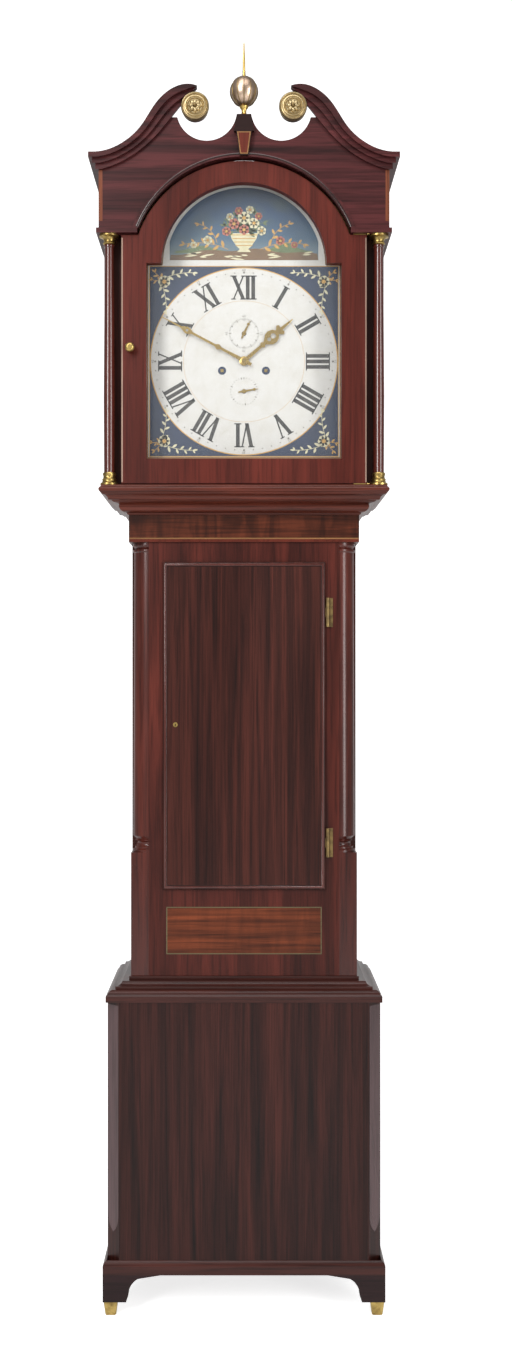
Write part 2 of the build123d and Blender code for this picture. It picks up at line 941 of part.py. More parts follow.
outer_run = [(-246.5, 0.0), (-205.0, 13.0), (-172.0, 41.5), (-143.6, 84.0), (-100.0, 111.8)]
inner_run = [(-238.0, -25.0), (-190.7, -5.0), (-150.0, 27.6), (-124.0, 57.8), (-107.0, 79.0)]
neck_tip = (-78.0, 109.5)
rosette_height = cornice_top + rosette_rise
scroll_front = cornice_front - rosette_depth
neck_members = ((1.0, 0.0, 5.0), (0.66, 5.0, 10.0), (0.34, 10.0, cornice_projection))
with BuildPart() as swan_necks:
    for share, start, end in neck_members:
        edge = [
            (ox + share * (ix - ox), cornice_top + oz + share * (iz - oz))
            for (ox, oz), (ix, iz) in zip(outer_run, inner_run)
        ]
        crest = [(x, cornice_top + z) for x, z in outer_run] + [
            (neck_tip[0], cornice_top + neck_tip[1])
        ]
        corner = -(frieze_half + end)
        corner_low = cornice_top - share * cornice_height
        with BuildSketch(front_plane(frieze_front + start)) as neck:
            with BuildLine():
                Line((corner, corner_low), (corner, cornice_top))
                Line((corner, cornice_top), crest[0])
                Spline(*crest)
                Line(crest[-1], edge[-1])
                Spline(*reversed(edge))
                Line(edge[0], (corner, corner_low))
            make_face()
            mirror(about=Plane.YZ)
        extrude(neck.sketch, amount=end - start)
        for side in (-1, 1):
            low, high = sorted((side * (frieze_half + start), side * (frieze_half + end)))
            plank(low, high, 0, frieze_front + start, corner_low, cornice_top)
    for side in (-1, 1):
        x = side * rosette_offset
        rod(x, rosette_height, rosette_radius, scroll_front, cornice_front, Mode.SUBTRACT)
        rod(x, rosette_height, rosette_radius - 1.5, frieze_front - scroll_eye_depth, scroll_front)
swan_necks.part.label = "swan_necks"

# Brass rosettes on the ends of the swan necks

rosette_profile = [(0, 0), (0.96, 0), (1.0, 0.75), (0.91, 0.9), (0.79, 0.82), (0.70, 0.68),
                   (0.57, 0.78), (0.44, 0.92), (0.36, 0.72), (0.22, 0.78), (0.13, 0.96), (0, 1.0)]
with BuildPart() as rosettes:
    for side in (-1, 1):
        lathe = Plane(
            origin=(side * rosette_offset, y_at(scroll_front), rosette_height),
            x_dir=(1, 0, 0),
            z_dir=(0, 0, 1),
        )
        with BuildSketch(lathe):
            with BuildLine():
                Polyline(
                    *[(r * rosette_radius, -out * rosette_depth) for r, out in rosette_profile],
                    close=True,
                )
            make_face()
        revolve(axis=Axis((side * rosette_offset, 0, rosette_height), (0, 1, 0)))
rosettes.part.label = "rosettes"

# Keystone: a square block on the pedestal over a tapered wedge

keystone_front = frieze_front + 10.0
wedge_top = frieze_face_bottom + arch_rise + keystone_height
with BuildPart() as keystone:
    with BuildSketch(front_plane(frieze_front)) as wedge:
        with BuildLine():
            Polyline(
                (-keystone_bottom_half, wedge_top - keystone_height),
                (keystone_bottom_half, wedge_top - keystone_height),
                (keystone_top_half, wedge_top),
                (-keystone_top_half, wedge_top),
                close=True,
            )
        make_face()
    extrude(wedge.sketch, amount=keystone_front - frieze_front)
    with BuildSketch(front_plane(frieze_front)) as block:
        with BuildLine():
            Polyline(
                (-keystone_top_half - 4, wedge_top),
                (keystone_top_half + 4, wedge_top),
                (keystone_top_half - 1, pedestal_top),
                (-keystone_top_half + 1, pedestal_top),
                close=True,
            )
        make_face()
    extrude(block.sketch, amount=keystone_front - frieze_front - 2)
    cylinder_of_arch = arch_radius + arch_moulding
    rod(0, arch_centre, cylinder_of_arch, frieze_front, frieze_front + bead_projection, Mode.SUBTRACT)
keystone.part.label = "keystone"

# Finial: neck, ball and spire, turned in one piece and standing on the pedestal

finial_depth = (pediment_back + frieze_front) / 2
ball_bottom = pedestal_top + finial_neck_height
ball_top = ball_bottom + finial_ball_height
spire_top = ball_top + spire_height
with BuildPart() as finial:
    turned(
        0,
        finial_depth,
        [
            (finial_neck_radius, pedestal_top),
            (finial_neck_radius, pedestal_top + 4),
            (finial_neck_radius - 2.5, pedestal_top + 8, 1.0),
            (finial_neck_radius - 1.5, ball_bottom - 3),
            (finial_neck_radius + 1, ball_bottom),
            (finial_ball_radius, (ball_bottom + ball_top) / 2, -6.0),
            (spire_radius + 1.5, ball_top - 1, -6.5),
            (spire_radius, ball_top + 1),
            (spire_radius * 0.55, ball_top + spire_height * 0.35, 0.8),
            (0.8, spire_top),
        ],
    )
finial.part.label = "finial"

# Hood columns between their brass bases and caps

column_bottom = hood_floor + brass_base_height
column_top = frieze_bottom - brass_cap_height
with BuildPart() as hood_columns:
    for side in (-1, 1):
        turned(
            side * column_x,
            column_depth,
            [
                (column_radius - 0.6, column_bottom),
                (column_radius, column_bottom + (column_top - column_bottom) / 3),
                (column_radius - 1.8, column_top - 6),
                (column_radius - 0.6, column_top - 5),
                (column_radius - 0.6, column_top - 2),
                (column_radius - 1.8, column_top),
            ],
        )
hood_columns.part.label = "hood_columns"

with BuildPart() as column_brasses:
    for side in (-1, 1):
        turned(
            side * column_x,
            column_depth,
            [
                (brass_base_radius, hood_floor),
                (brass_base_radius, hood_floor + 3),
                (brass_base_radius - 1.5, hood_floor + 4),
                (brass_base_radius - 3, hood_floor + 10, 1.2),
                (column_radius + 1.2, hood_floor + 17, 1.4),
                (column_radius + 1.6, hood_floor + 19),
                (column_radius + 0.6, column_bottom),
            ],
        )
        turned(
            side * column_x,
            column_depth,
            [
                (column_radius - 0.2, column_top),
                (column_radius + 1.2, column_top + 1.5),
                (column_radius - 0.4, column_top + 3.5),
                (brass_cap_radius - 2, frieze_bottom - 3.5, 2.0),
                (brass_cap_radius, frieze_bottom - 3),
                (brass_cap_radius, frieze_bottom),
            ],
        )
column_brasses.part.label = "column_brasses"

# Dial mask inside the hood, open to the dial's arched outline


def arched_outline(half_width, bottom, shoulder, arch_half, apex):
    """A tall rectangle under a narrower arch, drawn into the sketch that is open."""
    with Locations((0, (bottom + shoulder) / 2)):
        Rectangle(2 * half_width, shoulder - bottom)
    with Locations((0, apex - arch_half)):
        Circle(arch_half)


dial_shoulder = dial_bottom + dial_square_height
dial_apex = dial_shoulder + dial_arch_radius - 3.8
with BuildPart() as dial_mask:
    plank(-hood_side_inner, hood_side_inner, mask_back, mask_front, hood_floor, roof_bottom)
    with BuildSketch(front_plane(mask_back)) as window:
        arched_outline(
            dial_half - glass_lap / 2,
            dial_bottom + glass_lap / 2,
            dial_shoulder - glass_lap / 2,
            dial_arch_radius - glass_lap / 2,
            dial_apex - glass_lap / 2,
        )
    extrude(window.sketch, amount=mask_thickness, mode=Mode.SUBTRACT)
dial_mask.part.label = "dial_mask"

# Hood door: an arched frame rebated behind for its glass

door_bottom = hood_floor + hood_door_gap
door_shoulder = frieze_bottom - hood_door_gap
door_arch_half = arch_radius - door_arch_clearance
light_bottom = hood_floor + door_light_bottom
light_shoulder = hood_floor + door_light_shoulder
light_apex = light_shoulder + door_light_arch_radius - 3.5
rebate_depth = 8.0
with BuildPart() as hood_door_frame:
    with BuildSketch(front_plane(hood_door_back)) as leaf:
        with Locations((0, (door_bottom + door_shoulder) / 2)):
            Rectangle(2 * hood_door_half, door_shoulder - door_bottom)
        with BuildSketch(front_plane(hood_door_back), mode=Mode.PRIVATE) as crown:
            with Locations((0, arch_centre)):
                Circle(door_arch_half)
            with Locations((0, door_shoulder - 2 * arch_radius)):
                Rectangle(4 * arch_radius, 4 * arch_radius, mode=Mode.SUBTRACT)
        add(crown.sketch_local)
        with Locations((0, (light_bottom + light_shoulder) / 2)):
            Rectangle(2 * door_light_half, light_shoulder - light_bottom, mode=Mode.SUBTRACT)
        with Locations((0, light_apex - door_light_arch_radius)):
            Circle(door_light_arch_radius, mode=Mode.SUBTRACT)
    extrude(leaf.sketch, amount=hood_door_thickness)
    with BuildSketch(front_plane(hood_door_back)) as rebate:
        arched_outline(
            door_light_half + glass_lap,
            light_bottom - glass_lap,
            light_shoulder + glass_lap,
            door_light_arch_radius + glass_lap,
            light_apex + glass_lap,
        )
    extrude(rebate.sketch, amount=rebate_depth, mode=Mode.SUBTRACT)
    rod(
        -hood_door_half + knob_edge,
        hood_floor + knob_rise,
        spindle_radius + pin_clearance,
        hood_door_back,
        hood_door_front,
        Mode.SUBTRACT,
    )
hood_door_frame.part.label = "hood_door_frame"

with BuildPart() as hood_door_glass:
    with BuildSketch(front_plane(hood_door_back + rebate_depth - glass_thickness)) as pane:
        arched_outline(
            door_light_half + glass_lap - 0.5,
            light_bottom - glass_lap + 0.5,
            light_shoulder + glass_lap - 0.5,
            door_light_arch_radius + glass_lap - 0.5,
            light_apex + glass_lap - 0.5,
        )
    extrude(pane.sketch, amount=glass_thickness)
hood_door_glass.part.label = "hood_door_glass"

# Brass pivots on the door's lower and upper right corners

pivot_inner = pivot_x - 24.0
pivot_back = pivot_depth - 7.0
with BuildPart() as hood_door_pivots:
    for face, way in ((door_bottom, -1), (door_shoulder, 1)):
        low, high = sorted((face, face + way * pivot_plate))
        plank(pivot_inner, pivot_x, pivot_back, hood_door_front, low, high)
        upright(pivot_x, pivot_depth, pivot_radius + 1.2, low, high)
        tip = face + way * (hood_door_gap + pin_reach)
        low, high = sorted((face, tip))
        upright(pivot_x, pivot_depth, pivot_radius, low, high)
hood_door_pivots.part.label = "hood_door_pivots"

# Brass knob through the door's left stile, with the tongue that turns behind the hood's stile

knob_x = -hood_door_half + knob_edge
knob_height = hood_floor + knob_rise
tongue_back = mask_front + 1.5
tongue_thickness = 4.0
neck = knob_radius * 0.45
with BuildPart() as hood_door_knob:
    rod(knob_x, knob_height, spindle_radius, tongue_back, hood_door_front + 4)
    rod(knob_x, knob_height, knob_radius * 0.7, hood_door_front + running_gap, hood_door_front + 2)
    with BuildSketch(
        Plane(origin=(knob_x, y_at(hood_door_front), knob_height), x_dir=(1, 0, 0), z_dir=(0, 0, 1))
    ) as ball:
        with BuildLine():
            Line((0, -2), (neck, -2))
            Line((neck, -2), (neck, -5))
            ThreePointArc((neck, -5), (knob_radius, -10.5), (neck, -16))
            Line((neck, -16), (0, -16))
            Line((0, -16), (0, -2))
        make_face()
    revolve(ball.sketch, axis=Axis((knob_x, 0, knob_height), (0, 1, 0)))
    plank(
        knob_x - 4,
        knob_x + 4,
        tongue_back,
        tongue_back + tongue_thickness,
        knob_height - tongue_length,
        knob_height + 4,
    )
hood_door_knob.part.label = "hood_door_knob"

# Dial: an arched iron plate on four feet, pierced for the arbors

going_x = winding_offset
strike_x = -winding_offset
winding_height = centre_height - winding_drop
seconds_height = centre_height + seconds_rise
calendar_height = centre_height - calendar_drop
pillar_low = centre_height - plate_below_centre + 4.0
pillar_high = centre_height + plate_above_centre - 4.0
low_pillar_x = winding_offset - 12.0
high_pillar_x = plate_half - 16.0
dial_centre_hole = 7.0
small_dial_hole = 3.4
with BuildPart() as dial_plate:
    with BuildSketch(front_plane(dial_back)) as face:
        arched_outline(dial_half, dial_bottom, dial_shoulder, dial_arch_radius, dial_apex)
        for x, z, radius in (
            (0, centre_height, dial_centre_hole),
            (0, seconds_height, small_dial_hole),
            (0, calendar_height, small_dial_hole),
            (going_x, winding_height, winding_hole_radius),
            (strike_x, winding_height, winding_hole_radius),
        ):
            with Locations((x, z)):
                Circle(radius, mode=Mode.SUBTRACT)
    extrude(amount=dial_plate_thickness)
    for side in (-1, 1):
        rod(side * (plate_half - 8), pillar_low + 2, 3.0, front_plate_front, dial_back)
        rod(side * (plate_half - 8), pillar_high, 3.0, front_plate_front, dial_back)
dial_plate.part.label = "dial_plate"

# Places of the arbors on the front view

great_module = 2 * sqrt(winding_offset**2 + winding_drop**2) / (great_teeth + centre_pinion_leaves)
third_distance = centre_module * (centre_teeth + third_leaves) / 2
escape_distance = third_module * (third_teeth + escape_leaves) / 2
third_rise = (third_distance**2 - escape_distance**2 + seconds_rise**2) / (2 * seconds_rise)
third_x = sqrt(third_distance**2 - third_rise**2)
third_height = centre_height + third_rise
pallet_height = seconds_height + pallet_rise
motion_distance = motion_module * motion_teeth
minute_turn = radians(250)
minute_x = motion_distance * cos(minute_turn)
minute_height = centre_height + motion_distance * sin(minute_turn)
hour_module = 2 * motion_distance / (hour_teeth + minute_leaves)
pin_distance = strike_module * (strike_great_teeth + pin_leaves) / 2
pin_turn = radians(100)
pin_x = strike_x + pin_distance * cos(pin_turn)
pin_height = winding_height + pin_distance * sin(pin_turn)
gathering_distance = pin_module * (pin_teeth + gathering_leaves) / 2
gathering_turn = radians(54)
gathering_x = pin_x + gathering_distance * cos(gathering_turn)
gathering_height = pin_height + gathering_distance * sin(gathering_turn)
fly_distance = gathering_module * (gathering_teeth + fly_leaves) / 2
fly_turn = radians(118)
fly_x = gathering_x + fly_distance * cos(fly_turn)
fly_height = gathering_height + fly_distance * sin(fly_turn)
hammer_x = -plate_half + 10.0
hammer_height = centre_height + 66.0

centre = (0.0, centre_height)
going = (going_x, winding_height)
strike = (strike_x, winding_height)
third = (third_x, third_height)
escape = (0.0, seconds_height)
minute = (minute_x, minute_height)
pin_place = (pin_x, pin_height)
gathering = (gathering_x, gathering_height)
fly_place = (fly_x, fly_height)
hammer_place = (hammer_x, hammer_height)
pallet_place = (0.0, pallet_height)

# Depths of the wheels between the plates

wheel_gap = 4.0
great_depth = back_plate_front + wheel_gap
drum_back = great_depth + wheel_thickness + 1.0
drum_front = front_plate_back - 8.0
fast_depth = front_plate_back - wheel_gap - wheel_thickness
escape_depth = great_depth + 6.0
third_wheel_depth = escape_depth + 22.0
gathering_depth = third_wheel_depth
leaf_overlap = 1.5
motion_depth = front_plate_front + wheel_gap
hour_wheel_depth = motion_depth + 7.0
calendar_depth = hour_wheel_depth + 7.0
hour_hand_depth = dial_front + 3.0
minute_hand_depth = dial_front + 5.5
small_hand_depth = dial_front + 1.2
cannon_radius = 3.5
hour_pipe_radius = 5.0
motion_stud_radius = 1.2

# Back cock behind the back plate: it holds the pallet arbor and hangs the pendulum

cock_back = back_plate_back - 12.0
cock_half = 22.0
hanger_half = 5.0
hanger_gap = 0.9
swing_room = 0.9
crutch_depth = back_plate_back - 7.0
spring_half = 3.0
hanger_back = pendulum_depth - 5.0


def arbor_holes(depth, thickness, places):
    """Pivot holes through one movement plate."""
    for (x, z), radius in places:
        rod(x, z, radius, depth, depth + thickness, Mode.SUBTRACT)


pivot_hole = pivot_pin_radius + pin_clearance
free_hole = arbor_radius + pin_clearance
barrel_hole = barrel_pivot_radius + pin_clearance
with BuildPart() as movement_frame:
    for depth in (back_plate_back, front_plate_back):
        plank(
            -plate_half,
            plate_half,
            depth,
            depth + plate_thickness,
            centre_height - plate_below_centre,
            centre_height + plate_above_centre,
        )
    for side in (-1, 1):
        rod(side * low_pillar_x, pillar_low, pillar_radius, back_plate_front, front_plate_back)
        rod(side * high_pillar_x, pillar_high, pillar_radius, back_plate_front, front_plate_back)
        rod(side * (cock_half - 4), pallet_height, 2.5, cock_back, back_plate_back)
    plank(
        -cock_half,
        cock_half,
        cock_back,
        cock_back + plate_thickness,
        pallet_height - 8,
        pallet_height + 16,
    )
    plank(-hanger_half, hanger_half, hanger_back, cock_back, pallet_height + 6, pallet_height + 16)
    plank(
        -hanger_gap - swing_room,
        hanger_gap + swing_room,
        pendulum_depth - spring_half - 0.5,
        pendulum_depth + spring_half + 0.5,
        pallet_height + 6,
        pallet_height + 13,
        Mode.SUBTRACT,
    )
    rod(0, pallet_height, pivot_hole, cock_back, cock_back + plate_thickness, Mode.SUBTRACT)
    rod(minute_x, minute_height, motion_stud_radius, front_plate_front, calendar_depth)
    rod(0, calendar_height, arbor_radius, front_plate_front, calendar_depth + 5)
    shared = [
        (centre, free_hole),
        (third, pivot_hole),
        (pin_place, pivot_hole),
        (gathering, pivot_hole),
        (fly_place, pivot_hole),
        (hammer_place, pivot_hole),
    ]
    arbor_holes(
        back_plate_back,
        plate_thickness,
        shared
        + [(escape, pivot_hole), (going, barrel_hole), (strike, barrel_hole)]
        + [(pallet_place, 5.0)],
    )
    arbor_holes(
        front_plate_back,
        plate_thickness,
        shared
        + [(escape, free_hole), (pallet_place, pivot_hole)]
        + [(going, barrel_arbor_radius + pin_clearance)]
        + [(strike, barrel_arbor_radius + pin_clearance)],
    )
movement_frame.part.label = "movement_frame"


def plain_arbor(place, radius=arbor_radius):
    """An arbor between the plates with a thin pivot in each of them."""
    x, z = place
    rod(x, z, radius, back_plate_front + running_gap, front_plate_back - running_gap)
    rod(x, z, pivot_pin_radius, back_plate_back, front_plate_front)


def pinion(place, leaves, module, depth, thickness, towards):
    """A pinion whose gap faces the wheel that drives it."""
    phase = heading(place, towards) + 180 / leaves
    low = depth - leaf_overlap
    wheel(place[0], place[1], leaves, module, low, depth + thickness + leaf_overlap, phase)


def train_wheel(place, teeth, module, depth, towards, thickness=wheel_thickness):
    """A train wheel with a tooth on the line to the pinion that it drives."""
    wheel(place[0], place[1], teeth, module, depth, depth + thickness, heading(place, towards))


def barrel(place):
    """A line barrel with its flanges, pivots and winding square."""
    x, z = place
    rod(x, z, barrel_radius, drum_back, drum_front)
    rod(x, z, barrel_radius + barrel_flange, drum_back, drum_back + 1.5)
    rod(x, z, barrel_radius + barrel_flange, drum_front - 1.5, drum_front)
    rod(x, z, barrel_arbor_radius, back_plate_front + running_gap, dial_back - 6.0)
    rod(x, z, barrel_pivot_radius, back_plate_back, back_plate_front + running_gap)
    half = winding_square / 2
    plank(x - half, x + half, dial_back - 6.0, dial_front + 1.0, z - half, z + half)


def great_wheel(place, teeth, module, towards):
    """A great wheel that turns freely on its barrel's arbor."""
    train_wheel(place, teeth, module, great_depth, towards)
    hole = barrel_arbor_radius + pin_clearance
    rod(place[0], place[1], hole, great_depth, great_depth + wheel_thickness, Mode.SUBTRACT)


def pointer_hand(place, length, clock_angle, depth, thickness, tail, root=2.0):
    """A tapered hand from its boss to its point, with a tail of a share of its length."""
    x, z = place
    turn = radians(90 - clock_angle)
    along = (cos(turn), sin(turn))
    across = (-sin(turn), cos(turn))
    stations = [(-tail * length, 0.9), (0, root), (length * 0.72, 0.9), (length, 0.25)]
    left = [(x + d * along[0] + w * across[0], z + d * along[1] + w * across[1])
            for d, w in stations]
    right = [(x + d * along[0] - w * across[0], z + d * along[1] - w * across[1])
             for d, w in reversed(stations)]
    with BuildSketch(front_plane(depth)) as blade:
        with BuildLine():
            Polyline(*left, *right, close=True)
        make_face()
        with Locations((x, z)):
            Circle(root * 1.7)
        with Locations((x + 0.72 * length * along[0], z + 0.72 * length * along[1])):
            Circle(root * 1.2)
    extrude(blade.sketch, amount=thickness)


with BuildPart() as going_barrel:
    barrel(going)
going_barrel.part.label = "going_barrel"

with BuildPart() as strike_barrel:
    barrel(strike)
strike_barrel.part.label = "strike_barrel"

with BuildPart() as going_great_wheel:
    great_wheel(going, great_teeth, great_module, centre)
going_great_wheel.part.label = "going_great_wheel"

with BuildPart() as strike_great_wheel:
    great_wheel(strike, strike_great_teeth, strike_module, pin_place)
strike_great_wheel.part.label = "strike_great_wheel"

# Going train and motion work

with BuildPart() as centre_arbor:
    rod(0, centre_height, arbor_radius, back_plate_back, front_plate_front + running_gap)
    pinion(centre, centre_pinion_leaves, great_module, great_depth, wheel_thickness, going)
    train_wheel(centre, centre_teeth, centre_module, fast_depth, third)
    rod(0, centre_height, cannon_radius, front_plate_front + running_gap, minute_hand_depth + 3.0)
    train_wheel(centre, motion_teeth, motion_module, motion_depth, minute)
centre_arbor.part.label = "centre_arbor"

with BuildPart() as third_arbor:
    plain_arbor(third)
    pinion(third, third_leaves, centre_module, fast_depth, wheel_thickness, centre)
    train_wheel(third, third_teeth, third_module, third_wheel_depth, escape)
third_arbor.part.label = "third_arbor"

# The escape wheel's pointed teeth, and the small seconds hand on the end of its arbor

seconds_hand_length = 24.0
seconds_hand_turn = 26.0
with BuildPart() as escape_arbor:
    rod(0, seconds_height, arbor_radius, back_plate_front + running_gap, small_hand_depth + 0.8)
    rod(0, seconds_height, pivot_pin_radius, back_plate_back, back_plate_front + running_gap)
    pinion(escape, escape_leaves, third_module, third_wheel_depth, wheel_thickness, third)
    with BuildSketch(front_plane(escape_depth)) as star:
        with BuildLine():
            points = []
            for tooth in range(escape_teeth):
                for radius, share in ((escape_radius - 4, 0.0), (escape_radius, 0.42),
                                      (escape_radius - 4, 0.52)):
                    turn = radians((tooth + share) * 360 / escape_teeth)
                    points.append((radius * cos(turn), seconds_height + radius * sin(turn)))
            Polyline(*points, close=True)
        make_face()
    extrude(star.sketch, amount=wheel_thickness)
    pointer_hand(escape, seconds_hand_length, seconds_hand_turn, small_hand_depth, 0.6, 0.4)
escape_arbor.part.label = "escape_arbor"

# Pallets above the escape wheel, on one arbor with the crutch that the pendulum moves

pallet_clear = 1.8
pallet_reach = escape_radius + pallet_clear
crutch_length = 96.0
fork_half = rod_radius + 0.5
with BuildPart() as pallets:
    rod(0, pallet_height, arbor_radius, cock_back + plate_thickness + running_gap,
        front_plate_back - running_gap)
    rod(0, pallet_height, pivot_pin_radius, cock_back, front_plate_front)
    with BuildSketch(front_plane(escape_depth)) as anchor:
        for side in (-1, 1):
            tip_x = side * pallet_reach * cos(radians(45))
            tip_z = seconds_height + pallet_reach * sin(radians(45))
            with BuildLine():
                Polyline(
                    (-side * 2, pallet_height - 2),
                    (-side * 2, pallet_height + 4),
                    (side * 6, pallet_height + 3),
                    (tip_x + side * 4, tip_z + 3),
                    (tip_x + side * 1.5, tip_z - 2),
                    (tip_x, tip_z),
                    (side * 5, pallet_height - 3),
                    close=True,
                )
            make_face()
    extrude(anchor.sketch, amount=wheel_thickness + 1)
    plank(-2, 2, crutch_depth, crutch_depth + 2, pallet_height - crutch_length, pallet_height + 3)
    for side in (-1, 1):
        low, high = sorted((side * fork_half, side * (fork_half + 2)))
        plank(
            low,
            high,
            pendulum_depth - 6,
            crutch_depth,
            pallet_height - crutch_length,
            pallet_height - crutch_length + 3,
        )
    plank(
        -fork_half - 2,
        fork_half + 2,
        crutch_depth - 2,
        crutch_depth,
        pallet_height - crutch_length,
        pallet_height - crutch_length + 3,
    )
pallets.part.label = "pallets"

# Seconds pendulum: suspension spring, rod, bob and rating nut

bob_height = pallet_height - pendulum_length
with BuildPart() as pendulum:
    plank(
        -0.25,
        0.25,
        pendulum_depth - spring_half,
        pendulum_depth + spring_half,
        pallet_height - 30,
        pallet_height + 10,
    )
    plank(
        -hanger_gap,
        hanger_gap,
        pendulum_depth - spring_half,
        pendulum_depth + spring_half,
        pallet_height + 8,
        pallet_height + 12,
    )
    upright(0, pendulum_depth, rod_radius, bob_height - bob_radius - 16, pallet_height - 25)
    upright(0, pendulum_depth, 5.0, bob_height - bob_radius - 12, bob_height - bob_radius - 4)
    lathe = Plane(origin=(0, y_at(pendulum_depth), bob_height), x_dir=(1, 0, 0), z_dir=(0, 0, 1))
    half = bob_thickness / 2
    with BuildSketch(lathe) as lens:
        with BuildLine():
            ThreePointArc((0, -half), (bob_radius * 0.62, -half * 0.68), (bob_radius, 0))
            ThreePointArc((bob_radius, 0), (bob_radius * 0.62, half * 0.68), (0, half))
            Line((0, half), (0, -half))
        make_face()
    revolve(axis=Axis((0, y_at(pendulum_depth), bob_height), (0, 1, 0)))
pendulum.part.label = "pendulum"

# Motion work behind the dial, with the calendar wheel and its small hand

with BuildPart() as minute_wheel:
    gap_first = heading(minute, centre) + 180 / motion_teeth
    wheel(
        minute_x,
        minute_height,
        motion_teeth,
        motion_module,
        motion_depth,
        motion_depth + wheel_thickness,
        gap_first,
    )
    pinion(minute, minute_leaves, hour_module, hour_wheel_depth, wheel_thickness, centre)
    rod(minute_x, minute_height, 1.9, motion_depth, hour_wheel_depth)
    rod(
        minute_x,
        minute_height,
        motion_stud_radius + pin_clearance,
        motion_depth,
        calendar_depth,
        Mode.SUBTRACT,
    )
minute_wheel.part.label = "minute_wheel"

with BuildPart() as hour_wheel:
    train_wheel(centre, hour_teeth, hour_module, hour_wheel_depth, minute)
    rod(0, centre_height, hour_pipe_radius, hour_wheel_depth, hour_hand_depth + 1.5)
    rod(
        0,
        centre_height,
        cannon_radius + pin_clearance,
        hour_wheel_depth,
        hour_hand_depth + 1.5,
        Mode.SUBTRACT,
    )
hour_wheel.part.label = "hour_wheel"

calendar_hand_length = 25.0
calendar_hand_turn = 80.0
calendar_place = (0.0, calendar_height)
calendar_module = 2 * calendar_radius / calendar_teeth
with BuildPart() as calendar_wheel:
    wheel(0, calendar_height, calendar_teeth, calendar_module, calendar_depth, calendar_depth + 1.5, 90)
    rod(0, calendar_height, small_dial_hole - 0.5, calendar_depth, small_hand_depth + 0.6)
    pointer_hand(calendar_place, calendar_hand_length, calendar_hand_turn, small_hand_depth, 0.6, 0.4)
    rod(
        0,
        calendar_height,
        arbor_radius + pin_clearance,
        calendar_depth,
        calendar_depth + 6,
        Mode.SUBTRACT,
    )
calendar_wheel.part.label = "calendar_wheel"

# The two long hands on the cannon and on the hour pipe

with BuildPart() as minute_hand:
    pointer_hand(centre, minute_hand_length, minute_hand_angle, minute_hand_depth, hand_thickness,
                 0.0, 3.2)
    rod(0, centre_height, cannon_radius, minute_hand_depth, minute_hand_depth + hand_thickness,
        Mode.SUBTRACT)
minute_hand.part.label = "minute_hand"

with BuildPart() as hour_hand:
    pointer_hand(centre, hour_hand_length, hour_hand_angle, hour_hand_depth, hand_thickness,
                 0.0, 4.2)
    rod(0, centre_height, hour_pipe_radius, hour_hand_depth, hour_hand_depth + hand_thickness,
        Mode.SUBTRACT)
hour_hand.part.label = "hour_hand"

# Striking train: pin wheel, gathering arbor and fly

lifting_pins = 8
lifting_radius = 15.0
pin_front = fast_depth + wheel_thickness + 2.5
with BuildPart() as pin_wheel_arbor:
    plain_arbor(pin_place)
    pinion(pin_place, pin_leaves, strike_module, great_depth, wheel_thickness, strike)
    train_wheel(pin_place, pin_teeth, pin_module, fast_depth, gathering)
    for step in range(lifting_pins):
        turn = radians(step * 360 / lifting_pins)
        rod(
            pin_x + lifting_radius * cos(turn),
            pin_height + lifting_radius * sin(turn),
            0.9,
            fast_depth,
            pin_front,
        )
pin_wheel_arbor.part.label = "pin_wheel_arbor"

with BuildPart() as gathering_arbor:
    plain_arbor(gathering)
    pinion(gathering, gathering_leaves, pin_module, fast_depth, wheel_thickness, pin_place)
    train_wheel(gathering, gathering_teeth, gathering_module, gathering_depth, fly_place)
gathering_arbor.part.label = "gathering_arbor"

with BuildPart() as fly:
    plain_arbor(fly_place, 1.1)
    pinion(fly_place, fly_leaves, gathering_module, gathering_depth, wheel_thickness, gathering)
    plank(
        fly_x - fly_radius,
        fly_x + fly_radius,
        escape_depth + 2,
        gathering_depth - 4,
        fly_height - 0.6,
        fly_height + 0.6,
    )
fly.part.label = "fly"

# Bell on its bent stand, and the hammer beside it

bell_depth = barrel_mid
bell_bottom = centre_height + bell_rise
bell_top = bell_bottom + bell_height
stand_half = 4.0
stand_x = -high_pillar_x + 12.0
stand_back = back_plate_back - plate_thickness
with BuildPart() as bell:
    with BuildSketch(Plane(origin=(0, y_at(bell_depth), bell_bottom), z_dir=(0, -1, 0), x_dir=(1, 0, 0))):
        with BuildLine():
            Line((bell_radius, 0), (bell_radius - bell_wall, 0))
            ThreePointArc(
                (bell_radius - bell_wall, 0),
                (bell_radius * 0.68, bell_height * 0.66),
                (0, bell_height - bell_wall),
            )
            Line((0, bell_height - bell_wall), (0, bell_height))
            ThreePointArc((0, bell_height), (bell_radius * 0.73, bell_height * 0.70), (bell_radius, 0))
        make_face()
    revolve(axis=Axis((0, y_at(bell_depth), 0), (0, 0, 1)))
    upright(0, bell_depth, 3.0, bell_top - 0.3, bell_top + 3.0)
    plank(
        stand_x - stand_half,
        stand_x + stand_half,
        stand_back,
        back_plate_back,
        pillar_high - 24,
        bell_top + 6.0,
    )
    plank(stand_x - stand_half, stand_half, stand_back, back_plate_back, bell_top + 3.0, bell_top + 6.0)
    plank(-stand_half, stand_half, stand_back, bell_depth + 4.0, bell_top + 3.0, bell_top + 6.0)
bell.part.label = "bell"

